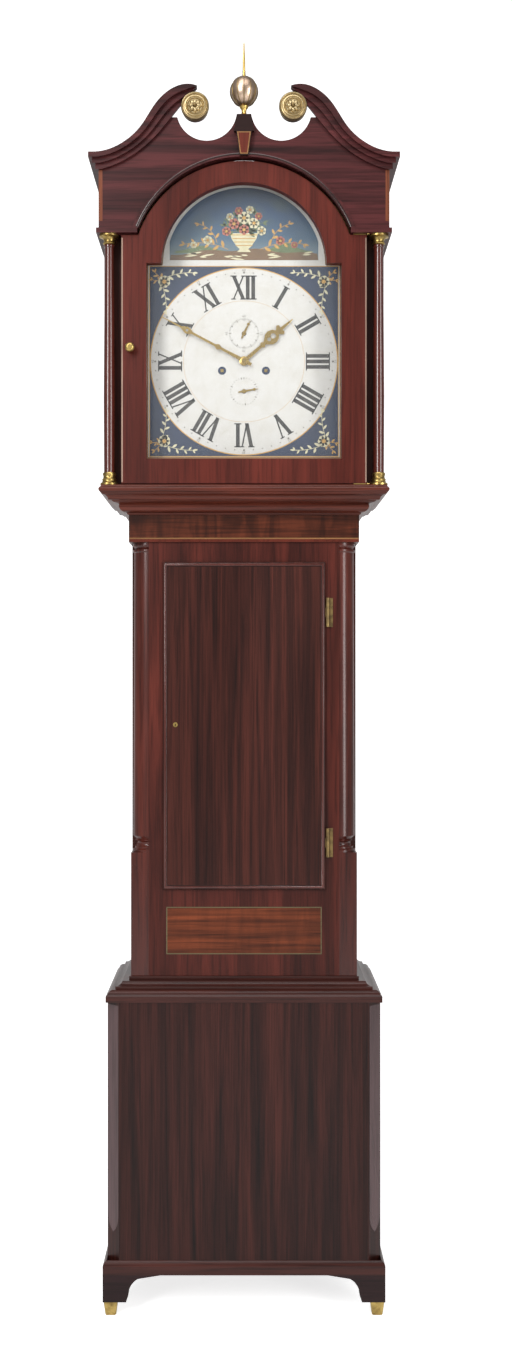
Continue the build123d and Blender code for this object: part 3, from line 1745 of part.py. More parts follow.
hammer_head_height = bell_bottom + 9.0
hammer_lean = 10.0
hammer_depth = bell_depth
head_gap = 6.0
with BuildPart() as hammer:
    plain_arbor(hammer_place)
    with BuildSketch(front_plane(hammer_depth - 2)) as arm:
        with BuildLine():
            Polyline(
                (hammer_x - 2, hammer_height),
                (hammer_x + 2, hammer_height),
                (hammer_x + 2 - hammer_lean, hammer_head_height),
                (hammer_x - 2 - hammer_lean, hammer_head_height),
                close=True,
            )
        make_face()
    extrude(arm.sketch, amount=4)
    with BuildSketch(Plane(origin=(-bell_radius - head_gap - 10, y_at(hammer_depth), hammer_head_height),
                           x_dir=(0, 1, 0), z_dir=(1, 0, 0))) as head:
        Circle(5)
    extrude(head.sketch, amount=10 + head_gap / 2)
    plank(
        hammer_x - 1.5,
        hammer_x + 1.5,
        fast_depth + wheel_thickness + 0.5,
        pin_front,
        pin_height + lifting_radius + 3,
        hammer_height,
    )
hammer.part.label = "hammer"

# Weights, their pulleys and the gut lines

pulley_height = seat_bottom - pulley_rest_drop
weight_top = pulley_height - weight_drop
stirrup_gap = pulley_thickness / 2 + 0.6


def weight(side):
    """A cast weight with the stirrup that holds its pulley."""
    x = weight_x(side)
    turned(
        x,
        barrel_mid,
        [
            (weight_radius - 3, weight_top - weight_height),
            (weight_radius, weight_top - weight_height + 3),
            (weight_radius, weight_top - 4),
            (weight_radius - 4, weight_top),
        ],
    )
    upright(x, barrel_mid, 3.0, weight_top, weight_top + 12)
    for start in (barrel_mid - stirrup_gap - 1.5, barrel_mid + stirrup_gap):
        plank(x - 4, x + 4, start, start + 1.5, weight_top + 8, pulley_height + 4)
    plank(
        x - 4,
        x + 4,
        barrel_mid - stirrup_gap - 1.5,
        barrel_mid + stirrup_gap + 1.5,
        weight_top + 8,
        weight_top + 12,
    )
    rod(
        x,
        pulley_height,
        arbor_radius,
        barrel_mid - stirrup_gap - 1.5,
        barrel_mid + stirrup_gap + 1.5,
    )


def pulley(side):
    """A grooved pulley that turns on the stirrup's pin."""
    x = weight_x(side)
    half = pulley_thickness / 2
    lathe = Plane(origin=(x, y_at(barrel_mid), pulley_height), x_dir=(1, 0, 0), z_dir=(0, 0, 1))
    rim = pulley_radius + 2.0
    groove = pulley_radius - line_radius - running_gap
    with BuildSketch(lathe) as section:
        with BuildLine():
            Polyline(
                (arbor_radius + pin_clearance, -half),
                (rim, -half),
                (groove, -line_radius),
                (groove, line_radius),
                (rim, half),
                (arbor_radius + pin_clearance, half),
                close=True,
            )
        make_face()
    revolve(section.sketch, axis=Axis((x, 0, pulley_height), (0, 1, 0)))


def falls(side):
    """The two falls of a line between the seatboard and the pulley."""
    for x in (line_x(side), anchor_x(side)):
        upright(x, barrel_mid, line_radius, pulley_height, seat_bottom)


with BuildPart() as going_weight:
    weight(1)
going_weight.part.label = "going_weight"

with BuildPart() as strike_weight:
    weight(-1)
strike_weight.part.label = "strike_weight"

with BuildPart() as going_pulley:
    pulley(1)
going_pulley.part.label = "going_pulley"

with BuildPart() as strike_pulley:
    pulley(-1)
strike_pulley.part.label = "strike_pulley"

with BuildPart() as going_line:
    falls(1)
going_line.part.label = "going_line"

with BuildPart() as strike_line:
    falls(-1)
strike_line.part.label = "strike_line"

# Still runs of the lines: from each barrel down through the seatboard, and the tied ends

knot_radius = slot_half + 1.2
with BuildPart() as line_runs:
    for side in (-1, 1):
        upright(line_x(side), barrel_mid, line_radius, seat_bottom, winding_height)
        upright(anchor_x(side), barrel_mid, line_radius, seat_bottom, seat_top)
        upright(anchor_x(side), barrel_mid, knot_radius, seat_top, seat_top + 4)
line_runs.part.label = "line_runs"

pieces = [
    plinth_boards,
    plinth_mouldings,
    bracket_feet,
    foot_pads,
    trunk_sides,
    trunk_front_frame,
    lower_panel,
    trunk_corner_columns,
    trunk_frieze,
    throat_moulding,
    backboard,
    seatboard,
    trunk_door_panel,
    trunk_hinge_fixed_leaves,
    trunk_hinge_door_leaves,
    trunk_lock,
    lock_bolt,
    hood_base_frame,
    hood_sides,
    pediment_board,
    hood_frieze_returns,
    swan_necks,
    rosettes,
    keystone,
    finial,
    hood_columns,
    column_brasses,
    dial_mask,
    hood_door_frame,
    hood_door_glass,
    hood_door_pivots,
    hood_door_knob,
    dial_plate,
    movement_frame,
    going_barrel,
    strike_barrel,
    going_great_wheel,
    strike_great_wheel,
    centre_arbor,
    third_arbor,
    escape_arbor,
    pallets,
    pendulum,
    minute_wheel,
    hour_wheel,
    calendar_wheel,
    minute_hand,
    hour_hand,
    pin_wheel_arbor,
    gathering_arbor,
    fly,
    bell,
    hammer,
    going_weight,
    strike_weight,
    going_pulley,
    strike_pulley,
    going_line,
    strike_line,
    line_runs,
]
for piece in pieces:
    export_step(piece.part, f"parts/{piece.part.label}.step")
print(len(pieces), "pieces")
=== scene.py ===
"""A longcase clock: materials, dial painting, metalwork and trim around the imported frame."""

import json
import math
import random

import bpy
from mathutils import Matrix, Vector


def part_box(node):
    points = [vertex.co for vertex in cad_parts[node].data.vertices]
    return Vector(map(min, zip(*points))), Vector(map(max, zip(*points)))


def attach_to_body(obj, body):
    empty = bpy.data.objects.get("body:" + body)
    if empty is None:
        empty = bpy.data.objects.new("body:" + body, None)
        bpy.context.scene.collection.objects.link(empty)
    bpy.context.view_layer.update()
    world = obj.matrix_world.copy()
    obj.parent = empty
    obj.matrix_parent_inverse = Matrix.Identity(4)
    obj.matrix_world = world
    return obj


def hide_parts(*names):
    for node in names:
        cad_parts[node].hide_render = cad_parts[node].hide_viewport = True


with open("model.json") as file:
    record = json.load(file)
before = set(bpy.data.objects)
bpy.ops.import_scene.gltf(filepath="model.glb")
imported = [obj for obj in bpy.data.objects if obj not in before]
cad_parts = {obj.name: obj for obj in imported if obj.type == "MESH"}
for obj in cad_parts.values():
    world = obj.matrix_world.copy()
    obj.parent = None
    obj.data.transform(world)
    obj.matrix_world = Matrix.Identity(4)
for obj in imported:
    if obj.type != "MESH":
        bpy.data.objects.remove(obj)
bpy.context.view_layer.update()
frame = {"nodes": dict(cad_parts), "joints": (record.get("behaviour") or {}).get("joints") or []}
nodes = frame["nodes"]
MM = 0.001

# Heights of the painted arch, for its sky

DIAL_SQUARE_HEIGHT = 0.34
ARCH_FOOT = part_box("dial_plate")[0][2] + DIAL_SQUARE_HEIGHT
ARCH_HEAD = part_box("dial_plate")[1][2]

# Materials


def srgb(code):
    """A linear colour from a written one."""
    channels = [int(code[i : i + 2], 16) / 255 for i in (1, 3, 5)]
    return [c / 12.92 if c <= 0.04045 else ((c + 0.055) / 1.055) ** 2.4 for c in channels] + [1.0]


def shade(colour, factor):
    """The same colour, lighter or darker."""
    return [min(1.0, c * factor) for c in colour[:3]] + [1.0]


class Surface:
    """A node material with its shader and a few short ways to add nodes."""

    def __init__(self, name, roughness=0.4, metallic=0.0, coat=0.0, coat_roughness=0.1, specular=0.5):
        self.material = bpy.data.materials.new(name)
        self.material.use_nodes = True
        self.tree = self.material.node_tree
        self.shader = self.tree.nodes["Principled BSDF"]
        self.shader.inputs["Roughness"].default_value = roughness
        self.shader.inputs["Metallic"].default_value = metallic
        self.shader.inputs["Coat Weight"].default_value = coat
        self.shader.inputs["Coat Roughness"].default_value = coat_roughness
        self.shader.inputs["Specular IOR Level"].default_value = specular
        self.coordinates = self.add("ShaderNodeTexCoord").outputs["Object"]

    def add(self, kind, **values):
        node = self.tree.nodes.new(kind)
        for name, value in values.items():
            setattr(node, name, value)
        return node

    def link(self, output, target):
        self.tree.links.new(output, target)

    def stretched(self, scale, place=(0.0, 0.0, 0.0)):
        """Object coordinates scaled along each axis."""
        mapping = self.add("ShaderNodeMapping")
        mapping.inputs["Scale"].default_value = scale
        mapping.inputs["Location"].default_value = place
        self.link(self.coordinates, mapping.inputs["Vector"])
        return mapping.outputs["Vector"]

    def noise(self, vector, detail=4.0, roughness=0.55, distortion=0.0):
        node = self.add("ShaderNodeTexNoise")
        node.inputs["Scale"].default_value = 1.0
        node.inputs["Detail"].default_value = detail
        node.inputs["Roughness"].default_value = roughness
        node.inputs["Distortion"].default_value = distortion
        self.link(vector, node.inputs["Vector"])
        return node.outputs["Fac"]

    def ramp(self, factor, stops):
        node = self.add("ShaderNodeValToRGB")
        first, last = node.color_ramp.elements[0], node.color_ramp.elements[-1]
        first.position, first.color = stops[0]
        last.position, last.color = stops[-1]
        for position, colour in stops[1:-1]:
            element = node.color_ramp.elements.new(position)
            element.color = colour
        self.link(factor, node.inputs["Fac"])
        return node.outputs["Color"]

    def mix(self, factor, first, second, blend="MIX"):
        node = self.add("ShaderNodeMix", data_type="RGBA", blend_type=blend)
        for value, socket in ((factor, node.inputs[0]), (first, node.inputs[6]), (second, node.inputs[7])):
            if isinstance(value, bpy.types.NodeSocket):
                self.link(value, socket)
            else:
                socket.default_value = value
        return node.outputs[2]

    def bump(self, height, strength, distance):
        node = self.add("ShaderNodeBump")
        node.inputs["Strength"].default_value = strength
        node.inputs["Distance"].default_value = distance
        self.link(height, node.inputs["Height"])
        self.link(node.outputs["Normal"], self.shader.inputs["Normal"])

    def colour(self, socket):
        self.link(socket, self.shader.inputs["Base Color"])

    def vary_roughness(self, factor, low, high):
        node = self.add("ShaderNodeMapRange")
        node.inputs["To Min"].default_value = low
        node.inputs["To Max"].default_value = high
        self.link(factor, node.inputs["Value"])
        self.link(node.outputs["Result"], self.shader.inputs["Roughness"])


ALONG = {"x": (0, 1, 1), "y": (1, 0, 1), "z": (1, 1, 0)}


def wood(
    name, base, grain="z", contrast=1.0, figure=0.0, gloss=0.34, fine=260.0, coat=0.0, seed=0.0, broad=26.0
):
    """Polished timber: long broken streaks, fine pores, slow colour change and an optional figure."""
    surface = Surface(name, gloss, coat=coat, coat_roughness=0.16, specular=0.22)
    across = ALONG[grain]
    streak_scale = [broad if flag else 1.5 for flag in across]
    fine_scale = [fine if flag else 9.0 for flag in across]
    slow_scale = [5.0 if flag else 1.2 for flag in across]
    offset = (seed, seed * 1.7, seed * 0.6)
    streaks = surface.noise(surface.stretched(streak_scale, offset), 6.0, 0.62, 0.9)
    pores = surface.noise(surface.stretched(fine_scale, offset), 3.0, 0.6)
    slow = surface.noise(surface.stretched(slow_scale, offset), 3.0, 0.5, 0.4)
    spread = 0.42 * contrast
    tone = surface.ramp(
        streaks,
        [
            (0.28, shade(base, 1.0 - 1.15 * spread)),
            (0.47, shade(base, 1.0 - 0.25 * spread)),
            (0.58, shade(base, 1.0 + 0.45 * spread)),
            (0.74, shade(base, 1.0 + 1.2 * spread)),
        ],
    )
    pore_tone = surface.ramp(pores, [(0.36, (0.45, 0.42, 0.4, 1)), (0.52, (1, 1, 1, 1))])
    tone = surface.mix(0.75 * min(1.0, contrast), tone, pore_tone, "MULTIPLY")
    slow_tone = surface.ramp(slow, [(0.3, (0.72, 0.68, 0.66, 1)), (0.7, (1.18, 1.14, 1.1, 1))])
    tone = surface.mix(0.8, tone, slow_tone, "MULTIPLY")
    if figure:
        curl_scale = [7.0 if flag else 34.0 for flag in across]
        curl = surface.noise(surface.stretched(curl_scale, offset), 2.0, 0.5, 1.6)
        curl_tone = surface.ramp(curl, [(0.35, (0.55, 0.5, 0.48, 1)), (0.62, (1.35, 1.25, 1.2, 1))])
        tone = surface.mix(figure, tone, curl_tone, "MULTIPLY")
    surface.colour(tone)
    surface.bump(pores, 0.12, 0.0004)
    surface.vary_roughness(slow, gloss - 0.06, gloss + 0.12)
    return surface.material


def metal(name, base, roughness=0.28, tarnish=0.5, dull=None, scale=60.0):
    """Old metal: polished high ground with duller, darker patches."""
    surface = Surface(name, roughness, metallic=1.0)
    patches = surface.noise(surface.stretched((scale, scale, scale)), 5.0, 0.65)
    specks = surface.noise(surface.stretched((scale * 12, scale * 12, scale * 12)), 2.0, 0.6)
    dark = dull or shade(base, 0.45)
    tone = surface.ramp(patches, [(0.36, dark), (0.56, base), (0.8, shade(base, 1.12))])
    surface.colour(surface.mix(tarnish, base, tone))
    surface.vary_roughness(patches, roughness + 0.16, roughness - 0.06)
    surface.bump(specks, 0.08, 0.0002)
    return surface.material


PAINT_ROUGHNESS = 0.42
PAINT_COAT = 0.15
PAINT_COAT_ROUGHNESS = 0.3


def paint(name, base, age, wear):
    """Oil paint on iron: yellowed in clouds, with a fine broken craze."""
    surface = Surface(name, PAINT_ROUGHNESS, coat=PAINT_COAT, coat_roughness=PAINT_COAT_ROUGHNESS)
    cloud_scale = (38.0, 38.0, 38.0)
    clouds = surface.noise(surface.stretched(cloud_scale), 5.0, 0.7, 0.3)
    craze = surface.add("ShaderNodeTexVoronoi", feature="DISTANCE_TO_EDGE")
    craze.inputs["Scale"].default_value = 260.0
    surface.link(surface.coordinates, craze.inputs["Vector"])
    lines = surface.ramp(craze.outputs["Distance"], [(0.0, (0.72, 0.68, 0.6, 1)), (0.05, (1, 1, 1, 1))])
    stain = surface.ramp(clouds, [(0.42, (0, 0, 0, 1)), (0.78, (wear, wear, wear, 1))])
    tone = surface.mix(stain, srgb(base), srgb(age))
    surface.colour(surface.mix(0.35, tone, lines, "MULTIPLY"))
    surface.bump(clouds, 0.05, 0.0004)
    return surface.material


door_oak = wood("door_oak", srgb("#371812"), "z", 1.7, fine=420.0, broad=70.0, seed=3.1)
frame_oak = wood("frame_oak", srgb("#481d16"), "z", 1.2, seed=1.9)
side_oak = wood("side_oak", srgb("#3b1a14"), "z", 1.2, seed=1.3)
plinth_oak = wood("plinth_oak", srgb("#2e1410"), "z", 1.8, fine=420.0, broad=55.0, seed=7.7)
rail_mahogany = wood("rail_mahogany", srgb("#381914"), "x", 1.0, gloss=0.3, coat=0.1, seed=2.2)
foot_mahogany = wood("foot_mahogany", srgb("#231213"), "x", 0.9, seed=2.6)
hood_rail_mahogany = wood("hood_rail_mahogany", srgb("#4e2116"), "x", 1.0, gloss=0.3, coat=0.1, seed=2.7)
post_mahogany = wood("post_mahogany", srgb("#481e17"), "z", 0.9, gloss=0.24, coat=0.35, seed=4.4)
column_mahogany = wood("column_mahogany", srgb("#4a1f18"), "z", 0.7, gloss=0.18, coat=0.9, seed=4.9)
hood_mahogany = wood("hood_mahogany", srgb("#401c1d"), "x", 1.5, broad=36.0, seed=5.9)
red_mahogany = wood("red_mahogany", srgb("#4e1d15"), "z", 0.75, seed=6.3)
frieze_flame = wood("frieze_flame", srgb("#4c2516"), "x", 2.0, figure=0.9, seed=8.8)
panel_veneer = wood("panel_veneer", srgb("#5d2d18"), "x", 1.5, broad=60.0, figure=0.35, seed=9.4)
back_pine = wood("back_pine", srgb("#8a6844"), "z", 0.7, gloss=0.7, seed=2.9)
seat_pine = wood("seat_pine", srgb("#7d5c3a"), "x", 0.7, gloss=0.7, seed=3.9)
light_string = wood("light_string", srgb("#7c5a38"), "x", 0.4, seed=1.1)
grey_string = wood("grey_string", srgb("#5f5a42"), "x", 0.4, seed=1.2)
band_veneer = wood("band_veneer", srgb("#6a3a26"), "z", 0.9, seed=5.1)
dark_band = wood("dark_band", srgb("#24110e"), "x", 0.5, seed=5.2)
red_band = wood("red_band", srgb("#5a2418"), "z", 0.5, seed=5.3)
dark_bead = wood("dark_bead", srgb("#2c1513"), "x", 0.6, gloss=0.24, coat=0.5, seed=5.6)
bead_wood = wood("bead_wood", srgb("#4a211b"), "z", 0.6, gloss=0.22, coat=0.6, seed=5.7)
# Pale tone for a painted highlight along the side edges of the hood door.
painted_edge_highlight = wood("painted_edge_highlight", srgb("#8b7468"), "z", 0.5, gloss=0.3, coat=0.3, seed=5.8)
# Grey tone for a painted sheen on the canted corners of the plinth.
canted_sheen_wood = wood("canted_sheen_wood", srgb("#4d383a"), "z", 0.7, gloss=0.24, coat=0.3, seed=6.6)

brass = metal("brass", srgb("#b59c5e"), 0.3, 0.7, srgb("#5e4a2a"))
old_brass = metal("old_brass", srgb("#86714a"), 0.42, 0.7, srgb("#40342a"))
bright_brass = metal("bright_brass", srgb("#c9ab63"), 0.24, 0.4, srgb("#80653a"))
pale_brass = metal("pale_brass", srgb("#bfa792"), 0.3, 0.5, srgb("#6c5648"))
rosette_brass = metal("rosette_brass", srgb("#b3a17c"), 0.36, 0.5, srgb("#77653f"), 90.0)
steel = metal("steel", srgb("#9a9a98"), 0.3, 0.4)
iron = metal("iron", srgb("#45444a"), 0.55, 0.6)
lead = metal("lead", srgb("#6c6c70"), 0.6, 0.6)

dial_white = paint("dial_white", "#c1c0bc", "#9f9780", 0.30)
dial_blue = paint("dial_blue", "#082242", "#06162c", 0.5)
dial_black = paint("dial_black", "#1d1b1c", "#5c584e", 0.55)
dial_grey = paint("dial_grey", "#6b6862", "#a09b8c", 0.5)
dial_gold = paint("dial_gold", "#b98f45", "#7b5c2a", 0.5)
paint_green = paint("paint_green", "#5c6b45", "#394a35", 0.6)
paint_rose = paint("paint_rose", "#a8604e", "#7a4338", 0.5)
paint_pale = paint("paint_pale", "#c9c3a2", "#8f8a66", 0.5)
paint_brown = paint("paint_brown", "#6a5034", "#46351f", 0.6)


def sky_material():
    """Painted evening sky: blue above, grey-green cloud and a paler band near the ground."""
    surface = Surface("arch_sky", PAINT_ROUGHNESS, coat=PAINT_COAT, coat_roughness=PAINT_COAT_ROUGHNESS)
    place = surface.add("ShaderNodeSeparateXYZ")
    surface.link(surface.coordinates, place.inputs["Vector"])
    height = surface.add("ShaderNodeMapRange")
    height.inputs["From Min"].default_value = ARCH_FOOT
    height.inputs["From Max"].default_value = ARCH_HEAD
    surface.link(place.outputs["Z"], height.inputs["Value"])
    stops = [
        (0.0, srgb("#6f7f86")),
        (0.28, srgb("#35536b")),
        (0.62, srgb("#1b3d60")),
        (1.0, srgb("#0f2743")),
    ]
    blue = surface.ramp(height.outputs["Result"], stops)
    clouds = surface.noise(surface.stretched((16.0, 16.0, 30.0)), 5.0, 0.6, 0.8)
    veil = surface.ramp(clouds, [(0.46, (0, 0, 0, 1)), (0.72, (0.45, 0.45, 0.45, 1))])
    surface.colour(surface.mix(veil, blue, srgb("#4b5a4c")))
    return surface.material


def glass_material():
    surface = Surface("clear_glass", 0.03)
    waves = surface.noise(surface.stretched((6.0, 6.0, 4.0)), 2.0, 0.4)
    surface.colour(surface.ramp(waves, [(0.3, (0.86, 0.9, 0.9, 1)), (0.7, (0.93, 0.95, 0.95, 1))]))
    surface.bump(waves, 0.05, 0.002)
    surface.shader.inputs["Alpha"].default_value = 0.03
    surface.material.blend_method = "BLEND"
    return surface.material


def gut_material():
    surface = Surface("gut", 0.55)
    twist = surface.add("ShaderNodeTexWave", wave_type="BANDS", bands_direction="DIAGONAL")
    twist.inputs["Scale"].default_value = 380.0
    surface.link(surface.coordinates, twist.inputs["Vector"])
    surface.colour(surface.ramp(twist.outputs["Fac"], [(0.2, srgb("#7c6743")), (0.8, srgb("#bda676"))]))
    surface.bump(twist.outputs["Fac"], 0.4, 0.0004)
    return surface.material


arch_sky = sky_material()
glass = glass_material()
gut = gut_material()

finishes = {
    door_oak: ["trunk_door_panel"],
    side_oak: ["trunk_sides", "hood_sides"],
    frame_oak: ["trunk_front_frame"],
    plinth_oak: ["plinth_boards"],
    rail_mahogany: ["plinth_mouldings"],
    foot_mahogany: ["bracket_feet"],
    hood_rail_mahogany: ["hood_base_frame", "throat_moulding"],
    post_mahogany: ["trunk_corner_columns"],
    column_mahogany: ["hood_columns"],
    hood_mahogany: ["pediment_board", "hood_frieze_returns", "swan_necks"],
    red_mahogany: ["hood_door_frame"],
    dark_band: ["keystone"],
    frieze_flame: ["trunk_frieze"],
    panel_veneer: ["lower_panel"],
    back_pine: ["backboard"],
    seat_pine: ["seatboard", "dial_mask"],
    old_brass: ["trunk_hinge_fixed_leaves", "trunk_hinge_door_leaves"],
    brass: ["foot_pads", "column_brasses", "rosettes", "hood_door_pivots", "hood_door_knob", "trunk_lock"]
    + ["movement_frame", "going_barrel", "strike_barrel", "going_great_wheel", "strike_great_wheel"]
    + ["centre_arbor", "third_arbor", "minute_wheel", "hour_wheel", "pin_wheel_arbor"]
    + ["gathering_arbor", "fly", "bell", "going_pulley", "strike_pulley"],
    bright_brass: ["minute_hand", "hour_hand", "calendar_wheel", "escape_arbor"],
    pale_brass: ["finial"],
    steel: ["lock_bolt", "pallets", "hammer"],
    lead: ["going_weight", "strike_weight"],
    iron: ["pendulum"],
    dial_white: ["dial_plate"],
    glass: ["hood_door_glass"],
    gut: ["going_line", "strike_line", "line_runs"],
}
for material, names in finishes.items():
    for name in names:
        mesh = nodes[name].data
        mesh.materials.clear()
        mesh.materials.append(material)

# Floor, backdrop, light and camera

CAMERA_HEIGHT = 1.060
CAMERA_DISTANCE = 2.464
VIEW_HEIGHT_PIXELS = 1362
CENTRE_OFFSET_PIXELS = 12
VERTICAL_ANGLE = 51.5
GROUND_GLOW = 0.3
GROUND_GLOW_TO_CAMERA = 0.4
SKY_LIGHT = 0.32


def pale_ground():
    """A near-white ground that glows a little where it is looked at, so that it reads as white."""
    surface = Surface("pale_ground", 0.9)
    mottle = surface.noise(surface.stretched((3.0, 3.0, 3.0)), 3.0, 0.5)
    surface.colour(surface.ramp(mottle, [(0.3, (0.86, 0.86, 0.86, 1)), (0.7, (0.9, 0.9, 0.9, 1))]))
    rays = surface.add("ShaderNodeLightPath")
    seen_or_mirrored = surface.add("ShaderNodeMath", operation="ADD", use_clamp=True)
    seen_at_all = surface.add("ShaderNodeMath", operation="ADD", use_clamp=True)
    surface.link(rays.outputs["Is Camera Ray"], seen_or_mirrored.inputs[0])
    surface.link(rays.outputs["Is Glossy Ray"], seen_or_mirrored.inputs[1])
    surface.link(seen_or_mirrored.outputs[0], seen_at_all.inputs[0])
    surface.link(rays.outputs["Is Transmission Ray"], seen_at_all.inputs[1])
    surface.shader.inputs["Emission Color"].default_value = (1.0, 1.0, 1.0, 1.0)
    glow = surface.add("ShaderNodeMath", operation="MULTIPLY")
    surface.link(seen_at_all.outputs[0], glow.inputs[0])
    glow.inputs[1].default_value = GROUND_GLOW
    whiter = surface.add("ShaderNodeMath", operation="MULTIPLY_ADD")
    surface.link(rays.outputs["Is Camera Ray"], whiter.inputs[0])
    whiter.inputs[1].default_value = GROUND_GLOW_TO_CAMERA
    surface.link(glow.outputs[0], whiter.inputs[2])
    surface.link(whiter.outputs[0], surface.shader.inputs["Emission Strength"])
    return surface.material


def floor():
    """A floor that curves up into a wall behind."""
    mesh = bpy.data.meshes.new("floor")
    half = 6.0
    wall_top = 5.0
    path = [(-half, 0.0)]
    bend_radius = 0.8
    bend_start = 4.4
    steps = 12
    for step in range(steps + 1):
        angle = math.pi / 2 * step / steps
        path.append((bend_start + bend_radius * math.sin(angle), bend_radius * (1 - math.cos(angle))))
    path.append((bend_start + bend_radius, wall_top))
    points = [(x, y, z) for y, z in path for x in (-half, half)]
    faces = [(2 * i, 2 * i + 1, 2 * i + 3, 2 * i + 2) for i in range(len(path) - 1)]
    mesh.from_pydata(points, [], faces)
    mesh.materials.append(pale_ground())
    for face in mesh.polygons:
        face.use_smooth = True
    obj = bpy.data.objects.new("floor", mesh)
    bpy.context.scene.collection.objects.link(obj)


def lamp(name, place, target, size, power):
    data = bpy.data.lights.new(name, "AREA")
    data.shape = "RECTANGLE"
    data.size, data.size_y = size
    data.energy = power
    obj = bpy.data.objects.new(name, data)
    obj.location = place
    obj.rotation_euler = (Vector(target) - Vector(place)).to_track_quat("-Z", "Y").to_euler()
    bpy.context.scene.collection.objects.link(obj)


def light_and_camera():
    scene = bpy.context.scene
    scene.view_settings.view_transform = "Standard"
    world = bpy.data.worlds.new("studio")
    scene.world = world
    world.use_nodes = True
    background = world.node_tree.nodes["Background"]
    background.inputs["Color"].default_value = (1.0, 1.0, 1.0, 1.0)
    background.inputs["Strength"].default_value = SKY_LIGHT
    lamp("key", (-1.9, -3.2, 2.9), (0.0, 0.0, 1.2), (0.9, 2.6), 122)
    lamp("fill", (2.4, -2.6, 1.6), (0.0, 0.0, 1.1), (0.9, 2.6), 66)
    lamp("top", (0.0, -1.2, 3.6), (0.0, 0.0, 1.6), (2.0, 1.4), 34)
    data = bpy.data.cameras.new("camera")
    data.sensor_fit = "VERTICAL"
    data.angle = math.radians(VERTICAL_ANGLE)
    data.shift_x = CENTRE_OFFSET_PIXELS / VIEW_HEIGHT_PIXELS
    camera = bpy.data.objects.new("camera", data)
    camera.location = (0.0, -CAMERA_DISTANCE, CAMERA_HEIGHT)
    camera.rotation_euler = (math.pi / 2, 0.0, 0.0)
    scene.collection.objects.link(camera)
    scene.camera = camera


floor()
light_and_camera()

# Small ways to build pieces


def attach(obj, body):
    """Put an object in the scene and on a body."""
    bpy.context.scene.collection.objects.link(obj)
    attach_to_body(obj, body)


def piece(name, points, faces, material, body, smooth=False):
    """A mesh piece that rides on a body."""
    mesh = bpy.data.meshes.new(name)
    mesh.from_pydata(points, [], faces)
    mesh.materials.append(material)
    if smooth:
        for face in mesh.polygons:
            face.use_smooth = True
    obj = bpy.data.objects.new(name, mesh)
    attach(obj, body)
    return obj


def layer(name, shapes, y, material, body="case"):
    """Flat painted shapes, each a list of (x, z) points, all at one depth and facing the viewer."""
    points = []
    faces = []
    for shape in shapes:
        start = len(points)
        points += [(x, y, z) for x, z in shape]
        area = sum(a[0] * b[1] - b[0] * a[1] for a, b in zip(shape, shape[1:] + shape[:1]))
        order = list(range(start, start + len(shape)))
        faces.append(order if area > 0 else order[::-1])
    return piece(name, points, faces, material, body)


def bands(name, rings, y, material, body="case"):
    """Flat strips, each between two outlines with the same number of (x, z) points."""
    points = []
    faces = []
    for inner, outer in rings:
        start = len(points)
        count = len(inner)
        points += [(x, y, z) for x, z in inner] + [(x, y, z) for x, z in outer]
        for i in range(count - 1):
            faces.append((start + i, start + count + i, start + count + i + 1, start + i + 1))
    return piece(name, points, faces, material, body)


def arc(centre, radius, first, last, count):
    """Points on an arc, with clock angles in degrees: 0 up, 90 right."""
    x, z = centre
    angles = [math.radians(first + (last - first) * i / (count - 1)) for i in range(count)]
    return [(x + radius * math.sin(angle), z + radius * math.cos(angle)) for angle in angles]


def ring(centre, inner, outer):
    """Two whole circles, as the edges of a flat band."""
    count = 121
    return arc(centre, inner, 0, 360, count), arc(centre, outer, 0, 360, count)


def circle(centre, radius, count=72):
    return arc(centre, radius, 0, 360 * (count - 1) / count, count)


def cutout(name, outlines, y, thickness, material, body="case", bevel=0.0):
    """A flat plate with holes: (x, z) outlines, filled between the outer ones and those inside them."""
    data = bpy.data.curves.new(name, "CURVE")
    data.dimensions = "2D"
    data.fill_mode = "BOTH"
    data.extrude = thickness / 2
    data.bevel_depth = bevel
    data.bevel_resolution = 1
    for outline in outlines:
        spline = data.splines.new("POLY")
        spline.points.add(len(outline) - 1)
        for point, (x, z) in zip(spline.points, outline):
            point.co = (x, z, 0.0, 1.0)
        spline.use_cyclic_u = True
    data.materials.append(material)
    obj = bpy.data.objects.new(name, data)
    obj.location = (0.0, y, 0.0)
    obj.rotation_euler = (math.pi / 2, 0.0, 0.0)
    attach(obj, body)
    return obj


CRISP_ANGLE = 40


def lathe(name, stations, place, axis, material, body, count=48):
    """A turned piece: (radius, distance along the axis) stations about an axis, "y" or "z"."""
    points = []
    faces = []
    for radius, along in stations:
        for step in range(count):
            angle = 2 * math.pi * step / count
            a, b = radius * math.cos(angle), radius * math.sin(angle)
            if axis == "z":
                points.append((place[0] + a, place[1] + b, place[2] + along))
            else:
                points.append((place[0] + a, place[1] - along, place[2] + b))
    for row in range(len(stations) - 1):
        lower = row * count
        upper = lower + count
        for step in range(count):
            following = (step + 1) % count
            faces.append((lower + step, lower + following, upper + following, upper + step))
    obj = piece(name, points, faces, material, body, smooth=True)
    obj.modifiers.new("crisp", "EDGE_SPLIT").split_angle = math.radians(CRISP_ANGLE)
    return obj


# Places read from the frame

